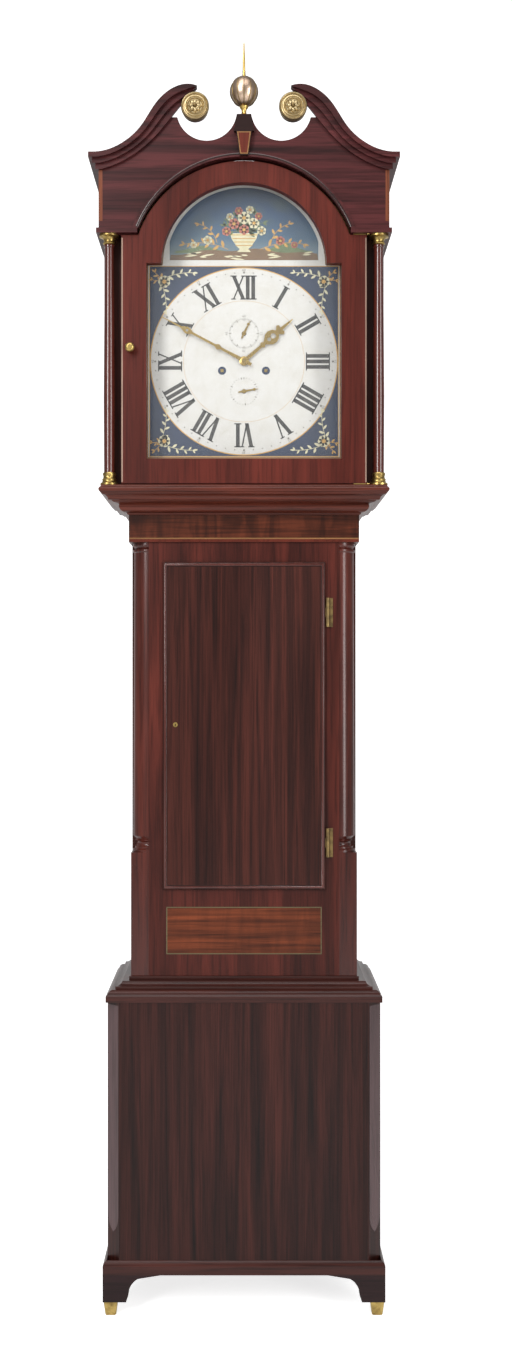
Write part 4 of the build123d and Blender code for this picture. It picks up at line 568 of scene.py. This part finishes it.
dial_low, dial_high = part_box("dial_plate")
DIAL_FRONT = dial_low[1]
DIAL_HALF = dial_high[0]
DIAL_BOTTOM = dial_low[2]
DIAL_APEX = dial_high[2]
minute_joint = next(j for j in frame["joints"] if j["name"] == "minute_turn")
seconds_joint = next(j for j in frame["joints"] if j["name"] == "escape_turn")
calendar_joint = next(j for j in frame["joints"] if j["name"] == "calendar_turn")
CENTRE = (minute_joint["pos_m"][0], minute_joint["pos_m"][2])
SECONDS = (seconds_joint["pos_m"][0], seconds_joint["pos_m"][2])
CALENDAR = (calendar_joint["pos_m"][0], calendar_joint["pos_m"][2])
WINDING = [
    (joint["pos_m"][0], joint["pos_m"][2])
    for joint in frame["joints"]
    if joint["name"] in ("going_barrel_turn", "strike_barrel_turn")
]
WINDING_HOLE = 7.0 * MM
HAND_HOLE = 4.0 * MM
LAYER = 0.06 * MM


def coat(number):
    """Depth of a paint layer in front of the dial plate."""
    return DIAL_FRONT - LAYER * number


SHOULDER = DIAL_BOTTOM + 2 * DIAL_HALF + 2.5 * MM
ARCH_HALF = 140.8 * MM
ARCH_RISE = DIAL_APEX - SHOULDER
ARCH_RADIUS = (ARCH_HALF**2 + ARCH_RISE**2) / (2 * ARCH_RISE)
ARCH_CENTRE = (0.0, DIAL_APEX - ARCH_RADIUS)
CHAPTER_RADIUS = 159.5 * MM
PICTURE_HALF = ARCH_HALF - 14 * MM
PICTURE_FOOT = SHOULDER + 6.0 * MM


def arch_outline(half, base, radius):
    """The closed outline of a region under the dial's arch."""
    count = 61
    side = math.degrees(math.asin(min(1.0, half / radius)))
    return [(half, base)] + arc(ARCH_CENTRE, radius, side, -side, count) + [(-half, base)]


def dial_ground():
    """Blue grounds inside the plate's own white border, gold lines and the white chapter disc."""
    edge = 5.0 * MM
    low, high = DIAL_BOTTOM + edge, SHOULDER - edge
    half = DIAL_HALF - edge
    corner = [(-half, low), (half, low), (half, high), (-half, high)]
    layer("corner_ground", [corner], coat(1), dial_blue)
    border = 7.5 * MM
    sky = arch_outline(PICTURE_HALF, PICTURE_FOOT, ARCH_RADIUS - border)
    layer("arch_ground", [sky], coat(1), arch_sky)
    holes = [circle(place, WINDING_HOLE) for place in WINDING]
    holes += [circle(place, HAND_HOLE) for place in (CENTRE, SECONDS, CALENDAR)]
    cutout("chapter_disc", [circle(CENTRE, CHAPTER_RADIUS)] + holes, coat(2), 0.0, dial_white)
    half_line = 0.9 * MM
    inner_circle = 103.0 * MM
    inner_line = 0.5 * MM
    rings = [
        ring(CENTRE, CHAPTER_RADIUS - half_line, CHAPTER_RADIUS + half_line),
        ring(CENTRE, inner_circle, inner_circle + inner_line),
    ]
    bands("chapter_edge", rings, coat(3), dial_gold)
    line = 1.3 * MM
    outer = [(-half - line, low - line), (half + line, low - line), (half + line, high + line)]
    outer += [(-half - line, high + line), (-half - line, low - line)]
    inner = [(-half, low), (half, low), (half, high), (-half, high), (-half, low)]
    bands("square_line", [(inner, outer)], coat(2), dial_gold)


dial_ground()

# Roman numerals, made of thick and thin strokes with serifs

NUMERAL_HEIGHT = 41.0 * MM
NUMERAL_MIDDLE = 126.0 * MM
THICK = 6.4 * MM
THIN = 2.5 * MM
SERIF = 1.9 * MM
STEM_SERIF = THICK * 1.9
WIDE_SERIF = THICK * 1.7
SHORT_SERIF = THICK * 1.2
LETTER_WIDTH = {"I": 9.4 * MM, "V": 21.0 * MM, "X": 22.0 * MM}


def stroke(x0, z0, x1, z1, width):
    """A straight stroke, as wide across at both ends."""
    return [(x0 - width / 2, z0), (x0 + width / 2, z0), (x1 + width / 2, z1), (x1 - width / 2, z1)]


def serif(x, z, width, up):
    top = z + SERIF if up else z - SERIF
    return [(x - width / 2, z), (x + width / 2, z), (x + width / 2, top), (x - width / 2, top)]


def letter(kind, x, half):
    """Strokes of one letter centred on x, and between -half and half in height."""
    if kind == "I":
        return [
            stroke(x, -half, x, half, THICK),
            serif(x, -half, STEM_SERIF, True),
            serif(x, half, STEM_SERIF, False),
        ]
    reach = LETTER_WIDTH[kind] / 2 - 2.5 * MM
    if kind == "V":
        return [
            stroke(x, -half, x - reach, half, THICK),
            stroke(x, -half, x + reach, half, THIN),
            serif(x - reach, half, WIDE_SERIF, False),
            serif(x + reach, half, SHORT_SERIF, False),
        ]
    return [
        stroke(x + reach, -half, x - reach, half, THICK),
        stroke(x - reach, -half, x + reach, half, THIN),
        serif(x - reach, half, WIDE_SERIF, False),
        serif(x + reach, half, SHORT_SERIF, False),
        serif(x + reach, -half, WIDE_SERIF, True),
        serif(x - reach, -half, SHORT_SERIF, True),
    ]


def turned_point(point, clock_angle, distance, centre):
    """A point given across and along a radius, turned to the radius at a clock angle."""
    angle = math.radians(clock_angle)
    across, along = point[0], distance + point[1]
    x = centre[0] + along * math.sin(angle) + across * math.cos(angle)
    z = centre[1] + along * math.cos(angle) - across * math.sin(angle)
    return x, z


def numerals():
    shapes = []
    words = ["XII", "I", "II", "III", "IIII", "V", "VI", "VII", "VIII", "IX", "X", "XI"]
    for hour, word in enumerate(words):
        x = -sum(LETTER_WIDTH[k] for k in word) / 2
        for kind in word:
            x += LETTER_WIDTH[kind] / 2
            for shape in letter(kind, x, NUMERAL_HEIGHT / 2):
                shapes.append([turned_point(p, hour * 30, NUMERAL_MIDDLE, CENTRE) for p in shape])
            x += LETTER_WIDTH[kind] / 2
    layer("hour_numerals", shapes, coat(4), dial_black)


def ticks(name, centre, radius, length, width, count):
    """Marks round a circle, every fifth one longer."""
    shapes = []
    for index in range(count):
        long = index % 5 == 0
        half = width * (0.9 if long else 0.5)
        reach = length * (1.0 if long else 0.6)
        box = [(-half, -reach), (half, -reach), (half, 0), (-half, 0)]
        shapes.append([turned_point(p, 360 * index / count, radius, centre) for p in box])
    layer(name, shapes, coat(4), dial_grey)


def minute_dots():
    """A dot at every minute, every fifth one larger."""
    shapes = []
    for index in range(60):
        size = 1.9 * MM if index % 5 == 0 else 1.1 * MM
        middle = turned_point((0, 0), 6 * index, 151.5 * MM, CENTRE)
        shapes.append(arc(middle, size, 360, 0, 9)[:-1])
    layer("minute_dots", shapes, coat(4), dial_grey)


def small_numbers(name, centre, radius, size, values):
    """Plain numbers stood on a circle, evenly from its top."""
    count = len(values)
    for index, value in enumerate(values):
        data = bpy.data.curves.new(f"{name}_{value}", "FONT")
        data.body = str(value)
        data.size = size
        data.align_x = "CENTER"
        data.align_y = "CENTER"
        data.extrude = 0.0
        data.materials.append(dial_grey)
        obj = bpy.data.objects.new(f"{name}_{value}", data)
        x, z = turned_point((0, 0), 360 * index / count, radius, centre)
        obj.location = (x, coat(4), z)
        obj.rotation_euler = (math.pi / 2, math.radians(360 * index / count), 0)
        attach(obj, "case")


numerals()
minute_dots()
ticks("seconds_marks", SECONDS, 26.0 * MM, 4.5 * MM, 0.8 * MM, 60)
ticks("calendar_marks", CALENDAR, 24.0 * MM, 3.6 * MM, 0.8 * MM, 31)
small_numbers("minutes", CENTRE, 155.6 * MM, 6.0 * MM, [60] + list(range(5, 60, 5)))
small_numbers("seconds", SECONDS, 29.5 * MM, 6.0 * MM, [60, 15, 30, 45])

# Painted flowers and leaves: a basket of flowers in the arch and a spray in each corner


def leaf(x, z, heading, length, width):
    """A pointed leaf from its stalk end, along a clock angle."""
    steps = 7
    left = []
    right = []
    for step in range(steps):
        along = step / (steps - 1)
        half = width / 2 * math.sin(math.pi * along) ** 0.8
        right.append((half, length * along))
        left.append((-half, length * along))
    outline = right + left[-2:0:-1]
    return [turned_point(point, heading, 0, (x, z)) for point in outline]


def stem(x, z, heading, length, width=0.9 * MM):
    box = [(-width / 2, 0), (width / 2, 0), (width / 2, length), (-width / 2, length)]
    return [turned_point(point, heading, 0, (x, z)) for point in box]


def spray(x, z, heading, bend, length, count, size):
    """A bending stalk with leaves on alternate sides."""
    shapes = []
    step = length / count
    side = 1
    for index in range(count):
        shapes.append(stem(x, z, heading, step))
        x, z = turned_point((0, 0), heading, step, (x, z))
        reach = size * (1.0 - 0.45 * index / count)
        shapes.append(leaf(x, z, heading + side * 52, reach, reach * 0.4))
        side = -side
        heading += bend / count
    shapes.append(leaf(x, z, heading, size * 0.8, size * 0.3))
    return shapes


def petals(x, z, radius, count, turn):
    """Round petals about a middle."""
    shapes = []
    for index in range(count):
        heading = turn + 360 * index / count
        middle = turned_point((0, 0), heading, radius * 0.56, (x, z))
        shapes.append(round_spot(*middle, radius * 0.44, 10))
    return shapes


def round_spot(x, z, radius, count=12):
    return arc((x, z), radius, 360, 0, count + 1)[:-1]


def painted_ground(generator):
    """A brown bank with pale lights along the foot of the arch, and green hills behind it."""
    half, base = PICTURE_HALF, PICTURE_FOOT
    bank = [(-half, base)]
    bank_steps = 24
    for step in range(bank_steps + 1):
        along = -1 + 2 * step / bank_steps
        height = 13 * MM + 5 * MM * math.cos(along * 2.2) + 2.2 * MM * math.sin(along * 9)
        bank.append((half * along * 0.985, base + height))
    bank.append((half, base))
    layer("painted_bank", [bank[::-1]], coat(2), paint_brown)
    lights = []
    for _ in range(16):
        x = generator.uniform(-0.82, 0.82) * half
        z = base + generator.uniform(3, 12) * MM
        heading = 90 + generator.uniform(-12, 12)
        lights.append(leaf(x, z, heading, generator.uniform(10, 26) * MM, 2.6 * MM))
    layer("painted_bank_lights", lights, coat(3), paint_pale)
    hill_foot = base + 12 * MM
    hill = [(-half * 0.93, hill_foot)]
    hill_steps = 20
    for step in range(hill_steps + 1):
        along = -1 + 2 * step / hill_steps
        left_hill = 10 * MM * math.exp(-((along + 0.62) ** 2) / 0.05)
        right_hill = 15 * MM * math.exp(-((along - 0.6) ** 2) / 0.04)
        rise = 12 * MM + left_hill + right_hill
        hill.append((half * 0.92 * along, base + rise + 3 * MM))
    hill.append((half * 0.93, hill_foot))
    layer("painted_hills", [hill[::-1]], coat(1.5), paint_green)


def painted_basket(rim, foot):
    bowl = [(-24 * MM, rim), (-21 * MM, rim - 10 * MM), (-12 * MM, foot + 9 * MM), (-7 * MM, foot + 5 * MM)]
    bowl += [(-12 * MM, foot), (12 * MM, foot), (7 * MM, foot + 5 * MM), (12 * MM, foot + 9 * MM)]
    bowl += [(21 * MM, rim - 10 * MM), (24 * MM, rim)]
    layer("painted_basket", [bowl], coat(3), paint_pale)
    weave = []
    half_line = 0.7 * MM
    for row in range(4):
        z = rim - 3 * MM - row * 6 * MM
        reach = (22.5 - row * 2.7) * MM
        low, high = z - half_line, z + half_line
        weave.append([(-reach, low), (reach, low), (reach, high), (-reach, high)])
    layer("basket_weave", weave, coat(4), dial_gold)


def painted_flowers(generator, rim, foot):
    """Leaves spread over the basket, sprays at its sides, and pale and rose flowers among them."""
    leaves = []
    sprays = 15
    for index in range(sprays):
        heading = -78 + 156 * index / (sprays - 1)
        bend = generator.uniform(-30, 30)
        length = generator.uniform(20, 38) * MM
        leaves += spray(0, rim, heading, bend, length, 3, 13 * MM)
    layer("arch_leaves", leaves, coat(3.5), paint_green)
    side_leaves = []
    for side in (-1, 1):
        side_leaves += spray(side * 27 * MM, foot + 4 * MM, side * 66, side * 38, 76 * MM, 9, 13 * MM)
        side_leaves += spray(side * 46 * MM, foot + 16 * MM, side * 18, side * 62, 46 * MM, 6, 11 * MM)
    layer("arch_side_leaves", side_leaves, coat(3.6), dial_gold)
    places = [(0, 26, 11), (-17, 16, 9.5), (17, 17, 9.5), (-30, 3, 8), (30, 4, 8), (-9, 38, 7), (10, 40, 7)]
    places += [(0, 6, 9), (-24, 28, 6.5), (25, 29, 6.5)]
    places += [(-62, -12, 8), (62, -13, 8), (-86, -20, 6), (86, -20, 6)]
    pale = []
    rose = []
    hearts = []
    for index, (across, up, size) in enumerate(places):
        x, z, radius = across * MM, rim + up * MM, size * MM
        flower = petals(x, z, radius, 6, index * 17)
        (pale if index % 2 == 0 else rose).extend(flower)
        hearts.append(round_spot(x, z, radius * 0.3))
    layer("arch_pale_flowers", pale, coat(5), paint_pale)
    layer("arch_rose_flowers", rose, coat(5.2), paint_rose)
    layer("arch_flower_hearts", hearts, coat(6), dial_gold)


def arch_painting():
    generator = random.Random(12)
    rim = PICTURE_FOOT + 46 * MM
    foot = PICTURE_FOOT + 14 * MM
    painted_ground(generator)
    painted_basket(rim, foot)
    painted_flowers(generator, rim, foot)


def corner_sprays():
    """A flower in each corner, with long pale sprays along both edges and short gold ones."""
    pale = []
    gold = []
    hearts = []
    flower_offset = 136 * MM
    start = 6 * MM
    for side in (-1, 1):
        for up in (-1, 1):
            x = CENTRE[0] + side * flower_offset
            z = CENTRE[1] + up * flower_offset
            turn = side * up
            inward = -side * 90
            downward = 180 if up > 0 else 0
            outward = side * 45 if up > 0 else 180 - side * 45
            gold += spray(x, z, side * 90 - turn * 8, 0, 20 * MM, 3, 9 * MM)
            pale += spray(x, z + up * start, inward + turn * 22, -turn * 26, 50 * MM, 7, 11 * MM)
            pale += spray(x + side * start, z, downward + turn * 22, -turn * 26, 50 * MM, 7, 11 * MM)
            gold += spray(x, z, outward, 0, 22 * MM, 3, 10 * MM)
            pale += petals(x, z, 10.5 * MM, 7, 10)
            hearts.append(round_spot(x, z, 3.6 * MM))
    layer("corner_gold_leaves", gold, coat(2.5), dial_gold)
    layer("corner_pale_leaves", pale, coat(3.1), paint_pale)
    layer("corner_hearts", hearts, coat(4.2), dial_gold)


arch_painting()
corner_sprays()

# Brass hands, pierced and tapered

MINUTE_ANGLE = -61.9
HOUR_ANGLE = 49.3


def mirrored(right):
    """A closed outline from its right half, given as (half width, distance along) in millimetres."""
    points = [(x * MM, z * MM) for x, z in right]
    return points + [(-x, z) for x, z in reversed(points)]


def hand(name, node, body, right_half, holes, boss, clock_angle):
    """A pierced brass hand with a round boss, in place of the plain one in the frame."""
    low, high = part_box(node)
    middle = (low[1] + high[1]) / 2
    thickness = (high[1] - low[1]) * 0.7
    soft_edge = 0.15 * MM
    outline = [turned_point(p, clock_angle, 0, CENTRE) for p in mirrored(right_half)]
    pierced = []
    for along, radius in holes:
        place = turned_point((0, 0), clock_angle, along * MM, CENTRE)
        pierced.append(circle(place, radius * MM, 25))
    obj = cutout(name, [outline] + pierced, middle, thickness, bright_brass, body, soft_edge)
    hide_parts(node)
    profile = [(0.1, 0.9), (boss * 0.7, 0.9), (boss, 0.4), (boss, -0.4)]
    stations = [(r * MM, along * MM) for r, along in profile]
    lathe(f"{name}_boss", stations, (CENTRE[0], middle, CENTRE[1]), "y", bright_brass, body)


minute_outline = [(2.6, -14), (3.2, 0), (2.5, 20), (1.9, 44), (4.8, 50), (1.9, 56), (1.8, 100)]
minute_outline += [(5.0, 106), (5.6, 111), (3.4, 117), (1.5, 121), (0.5, 159)]
hand("ornate_minute_hand", "minute_hand", "centre", minute_outline, [(110, 2.4)], 6.5, MINUTE_ANGLE)
hour_outline = [(3.2, 0), (2.6, 30), (2.2, 38), (5.2, 42), (2.4, 46), (5.5, 50), (10.5, 56), (12.0, 63)]
hour_outline += [(9.0, 71), (3.6, 75), (9.6, 81), (7.2, 85), (2.6, 84), (2.0, 94), (0.5, 109)]
hand("ornate_hour_hand", "hour_hand", "hour", hour_outline, [(56.5, 3.4), (65.5, 4.8)], 8.0, HOUR_ANGLE)

# Turned brass rosettes with a flower at the middle


def dome(name, outline, y, height, material, body):
    """A raised petal: its outline drawn in to a ridge."""
    middle_x = sum(x for x, z in outline) / len(outline)
    middle_z = sum(z for x, z in outline) / len(outline)
    points = []
    faces = []
    rows = [(1.0, 0.0), (0.86, 0.55), (0.55, 0.9)]
    for share, rise in rows:
        for x, z in outline:
            place_x = middle_x + (x - middle_x) * share
            place_z = middle_z + (z - middle_z) * share
            points.append((place_x, y - height * rise, place_z))
    points.append((middle_x, y - height, middle_z))
    peak = len(points) - 1
    count = len(outline)
    for row in range(len(rows) - 1):
        lower = row * count
        upper = lower + count
        for i in range(count):
            j = (i + 1) % count
            faces.append((lower + i, lower + j, upper + j, upper + i))
    last = (len(rows) - 1) * count
    for i in range(count):
        faces.append((last + i, last + (i + 1) % count, peak))
    return piece(name, points, faces, material, body, smooth=True)


def rosettes():
    """Two turned discs, each with a ring of eight petals and a heart."""
    low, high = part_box("rosettes")
    radius = (high[2] - low[2]) / 2
    back, front = high[1], low[1]
    depth = back - front
    z = (low[2] + high[2]) / 2
    profile = [(1.0, 0.0), (1.0, 0.5), (0.95, 0.62), (0.88, 0.55), (0.84, 0.42), (0.78, 0.46)]
    profile += [(0.74, 0.6), (0.68, 0.62), (0.64, 0.5), (0.58, 0.44)]
    profile += [(0.54, 0.5), (0.5, 0.42), (0.02, 0.4)]
    disc = [(radius * r, depth * s) for r, s in profile]
    heart = [(radius * r, depth * s) for r, s in [(0.16, 0.4), (0.16, 0.8), (0.1, 0.95), (0.01, 0.98)]]
    petal_foot = back - depth * 0.4
    petal_height = depth * 0.35
    for side, label in ((-1, "left"), (1, "right")):
        x = side * (high[0] - radius)
        place = (x, back, z)
        lathe(f"rosette_{label}", disc, place, "y", rosette_brass, "hood", 64)
        for index in range(8):
            outline = leaf(x, z, 45 * index, radius * 0.5, radius * 0.3)
            name = f"rosette_{label}_petal_{index}"
            dome(name, outline, petal_foot, petal_height, rosette_brass, "hood")
        lathe(f"rosette_{label}_heart", heart, place, "y", old_brass, "hood", 24)
    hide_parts("rosettes")


rosettes()

# Inlaid lines and bands on the case

INLAY = 0.15 * MM
BAND_TOP = 1.912
HIGHLIGHT_TOP = 1.800


def strip(name, x0, x1, z0, z1, y, material, body):
    """A flat upright band on a face at depth y."""
    return layer(name, [[(x0, z0), (x1, z0), (x1, z1), (x0, z1)]], y - INLAY, material, body)


def line_frame(name, x0, x1, z0, z1, width, y, material, body):
    """A flat line round a rectangle, inside its edges."""
    outer = [(x0, z0), (x1, z0), (x1, z1), (x0, z1), (x0, z0)]
    inner = [
        (x0 + width, z0 + width),
        (x1 - width, z0 + width),
        (x1 - width, z1 - width),
        (x0 + width, z1 - width),
        (x0 + width, z0 + width),
    ]
    return bands(name, [(inner, outer)], y - INLAY, material, body)


def case_inlay():
    """The line round the lower panel, and the line and band along the foot of the frieze."""
    low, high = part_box("lower_panel")
    line_frame("panel_line", low[0], high[0], low[2], high[2], 1.6 * MM, low[1], grey_string, "case")
    low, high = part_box("trunk_frieze")
    band_top = low[2] + 5.0 * MM
    line_top = low[2] + 7.2 * MM
    strip("frieze_line", low[0], high[0], band_top, line_top, low[1], light_string, "case")
    strip("frieze_band", low[0], high[0], low[2], band_top, low[1], red_band, "case")


def keystone_inlay():
    """A red wedge in a pale line on the face of the keystone."""
    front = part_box("keystone")[0][1] - INLAY
    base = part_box("keystone")[0][2]
    foot, top = base + 2.0 * MM, base + 39.0 * MM
    line = 1.8 * MM
    wedge = [(-6.4 * MM, foot), (6.4 * MM, foot), (11.6 * MM, top), (-11.6 * MM, top)]
    inner = [(-4.8 * MM, foot + line), (4.8 * MM, foot + line)]
    inner += [(9.2 * MM, top - line), (-9.2 * MM, top - line)]
    layer("keystone_line", [wedge], front, light_string, "hood")
    layer("keystone_wedge", [inner], front - INLAY, red_band, "hood")


def arch_bead():
    """A half-round bead round the arch of the pediment board."""
    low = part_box("pediment_board")[0]
    chord = 175.0 * MM
    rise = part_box("hood_door_frame")[1][2] + 5.0 * MM - low[2]
    radius = (chord**2 + rise**2) / (2 * rise)
    middle = (0.0, low[2] + rise - radius)
    reach = math.degrees(math.asin(chord / radius))
    bead_radius = 4.6 * MM
    outer_flatness = 0.9
    steps = 72
    around = 10
    points = []
    faces = []
    for x, z in arc(middle, radius + bead_radius, -reach, reach, steps):
        out_x, out_z = (x - middle[0]) / radius, (z - middle[1]) / radius
        for turn in range(around + 1):
            angle = math.pi * turn / around
            side_way = bead_radius * math.cos(angle)
            forward = bead_radius * math.sin(angle) * (outer_flatness if turn < around / 2 else 1.0)
            points.append((x + out_x * side_way, low[1] - forward, z + out_z * side_way))
    for step in range(steps - 1):
        for turn in range(around):
            a = step * (around + 1) + turn
            faces.append((a, a + 1, a + around + 2, a + around + 1))
    piece("arch_bead", points, faces, dark_bead, "hood", smooth=True)


def hood_edges():
    """Upright bands at the ends of the pediment board, and pale strips painted as highlights along the
    edges of the hood door.
    """
    for label, side in (("left", -1), ("right", 1)):
        low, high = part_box("pediment_board")
        x0, x1 = sorted((side * high[0], side * (high[0] - 6.5 * MM)))
        foot = low[2] + 12 * MM
        strip(f"pediment_band_{label}", x0, x1, foot, BAND_TOP, low[1], band_veneer, "hood")
    # Pale strips painted as highlights along the hood door's side edges.
    for label, side in (("left", -1), ("right", 1)):
        low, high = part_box("hood_door_frame")
        x0, x1 = sorted((side * high[0], side * (high[0] - 2.2 * MM)))
        foot = low[2] + 2 * MM
        strip(f"door_highlight_{label}", x0, x1, foot, HIGHLIGHT_TOP, low[1], painted_edge_highlight, "hood_door")


def plinth_corners():
    """Veneer on the canted corners of the plinth, drawn in to a point at the foot, in a grey tone that is a
    painted sheen.
    """
    low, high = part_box("plinth_boards")
    canted = 21.0 * MM
    front = low[1]
    top = high[2] - 6 * MM
    rows = [(0.135, 0.5), (0.142, 0.26), (0.150, 0.12), (0.162, 0.05), (top, 0.05)]
    for side, label in ((-1, "left"), (1, "right")):
        outer = Vector((side * high[0], front + canted))
        inner = Vector((side * (high[0] - canted), front))
        normal = Vector((side * 1.0, -1.0)).normalized() * INLAY * 2
        points = []
        for z, draw in rows:
            for share in (draw, 1.0 - draw):
                place = outer.lerp(inner, share) + normal
                points.append((place.x, place.y, z))
        faces = [(2 * i, 2 * i + 1, 2 * i + 3, 2 * i + 2) for i in range(len(rows) - 1)]
        # The grey tone of these corners is a painted sheen.
        piece(f"canted_corner_sheen_{label}", points, faces, canted_sheen_wood, "case")


def door_bead():
    """A half-round bead just inside the edge of the trunk door, with its shadow line."""
    low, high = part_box("trunk_door_panel")
    inset = 2.6 * MM
    radius = 2.0 * MM
    sunk = 0.6 * MM
    flatness = 0.8
    x0, x1, z0, z1 = low[0] + inset, high[0] - inset, low[2] + inset, high[2] - inset
    corners = [(x0, z0, 1, 1), (x1, z0, -1, 1), (x1, z1, -1, -1), (x0, z1, 1, -1)]
    around = 8
    points = []
    faces = []
    for x, z, in_x, in_z in corners:
        for turn in range(around + 1):
            angle = math.pi * turn / around
            inward = radius * (1 - math.cos(angle))
            y = low[1] + sunk - radius * math.sin(angle) * flatness
            points.append((x + in_x * inward, y, z + in_z * inward))
    for corner in range(4):
        following = (corner + 1) % 4
        for turn in range(around):
            a = corner * (around + 1) + turn
            b = following * (around + 1) + turn
            faces.append((a, a + 1, b + 1, b))
    piece("trunk_door_bead", points, faces, bead_wood, "trunk_door", smooth=True)
    gap = inset + 2 * radius
    x0, x1, z0, z1 = low[0] + gap, high[0] - gap, low[2] + gap, high[2] - gap
    # A dark band painted as the shadow line just inside the bead.
    line_frame("trunk_door_shadow_line", x0, x1, z0, z1, 1.4 * MM, low[1], dark_band, "trunk_door")


case_inlay()
keystone_inlay()
arch_bead()
hood_edges()
plinth_corners()
door_bead()


def finial_rib(name, rib, heading, axis_y):
    """A low ridge up the ball, at one heading about its axis."""
    half_width = 0.9 * MM
    proud = 0.4 * MM
    sunk = -1.2 * MM
    points = []
    for radius, z in rib:
        for offset in (-half_width, 0.0, half_width):
            grown = radius + (proud if offset == 0.0 else sunk)
            x = grown * math.cos(heading) - offset * math.sin(heading)
            y = axis_y + grown * math.sin(heading) + offset * math.cos(heading)
            points.append((x, y, z))
    faces = []
    for i in range(len(rib) - 1):
        for j in range(2):
            a = 3 * i + j
            faces.append((a, a + 1, a + 4, a + 3))
    piece(name, points, faces, old_brass, "hood", smooth=True)


def finial():
    """A pale brass ball with twelve darker ribs, between a brass neck and a spire."""
    low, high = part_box("finial")
    axis_y = (low[1] + high[1]) / 2
    place = (0.0, axis_y, 0.0)
    ball_radius = (high[0] - low[0]) / 2
    ball_low = low[2] + 18.0 * MM
    tall = ball_radius * 1.06
    ball_high = ball_low + 2 * tall
    top = high[2] - 0.2 * MM
    neck = [(6.6, 0), (6.6, 3), (5.0, 5), (3.9, 8), (4.4, 13), (7.0, 16), (7.6, 18), (6.0, 19.5), (0.2, 20)]
    stations = [(r * MM, low[2] + z * MM) for r, z in neck]
    made = lathe("finial_neck", stations, place, "z", bright_brass, "hood", 40)
    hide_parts("finial")
    steps = 28
    stations = []
    for step in range(steps + 1):
        angle = math.pi * step / steps
        radius = max(ball_radius * 0.965 * math.sin(angle), 0.1 * MM)
        squeeze = 1.0 - 0.1 * (1 - step / steps) ** 2
        stations.append((radius * squeeze, ball_low + tall * (1 - math.cos(angle))))
    lathe("finial_ball", stations, place, "z", pale_brass, "hood", 64)
    rib = []
    for step in range(3, steps - 2):
        angle = math.pi * step / steps
        rib.append((ball_radius * 0.985 * math.sin(angle), ball_low + tall * (1 - math.cos(angle))))
    ribs = 12
    for turn in range(ribs):
        finial_rib(f"finial_rib_{turn}", rib, math.pi * 2 * turn / ribs, axis_y)
    spire = [(3.4, 0), (3.0, 2), (2.4, 8), (2.8, 9), (2.2, 11), (2.0, 30), (1.3, 45)]
    stations = [(r * MM, ball_high - 1 * MM + z * MM) for r, z in spire]
    stations.append((0.9 * MM, top - 4 * MM))
    stations.append((0.2 * MM, top))
    lathe("finial_spire", stations, place, "z", bright_brass, "hood", 24)


finial()
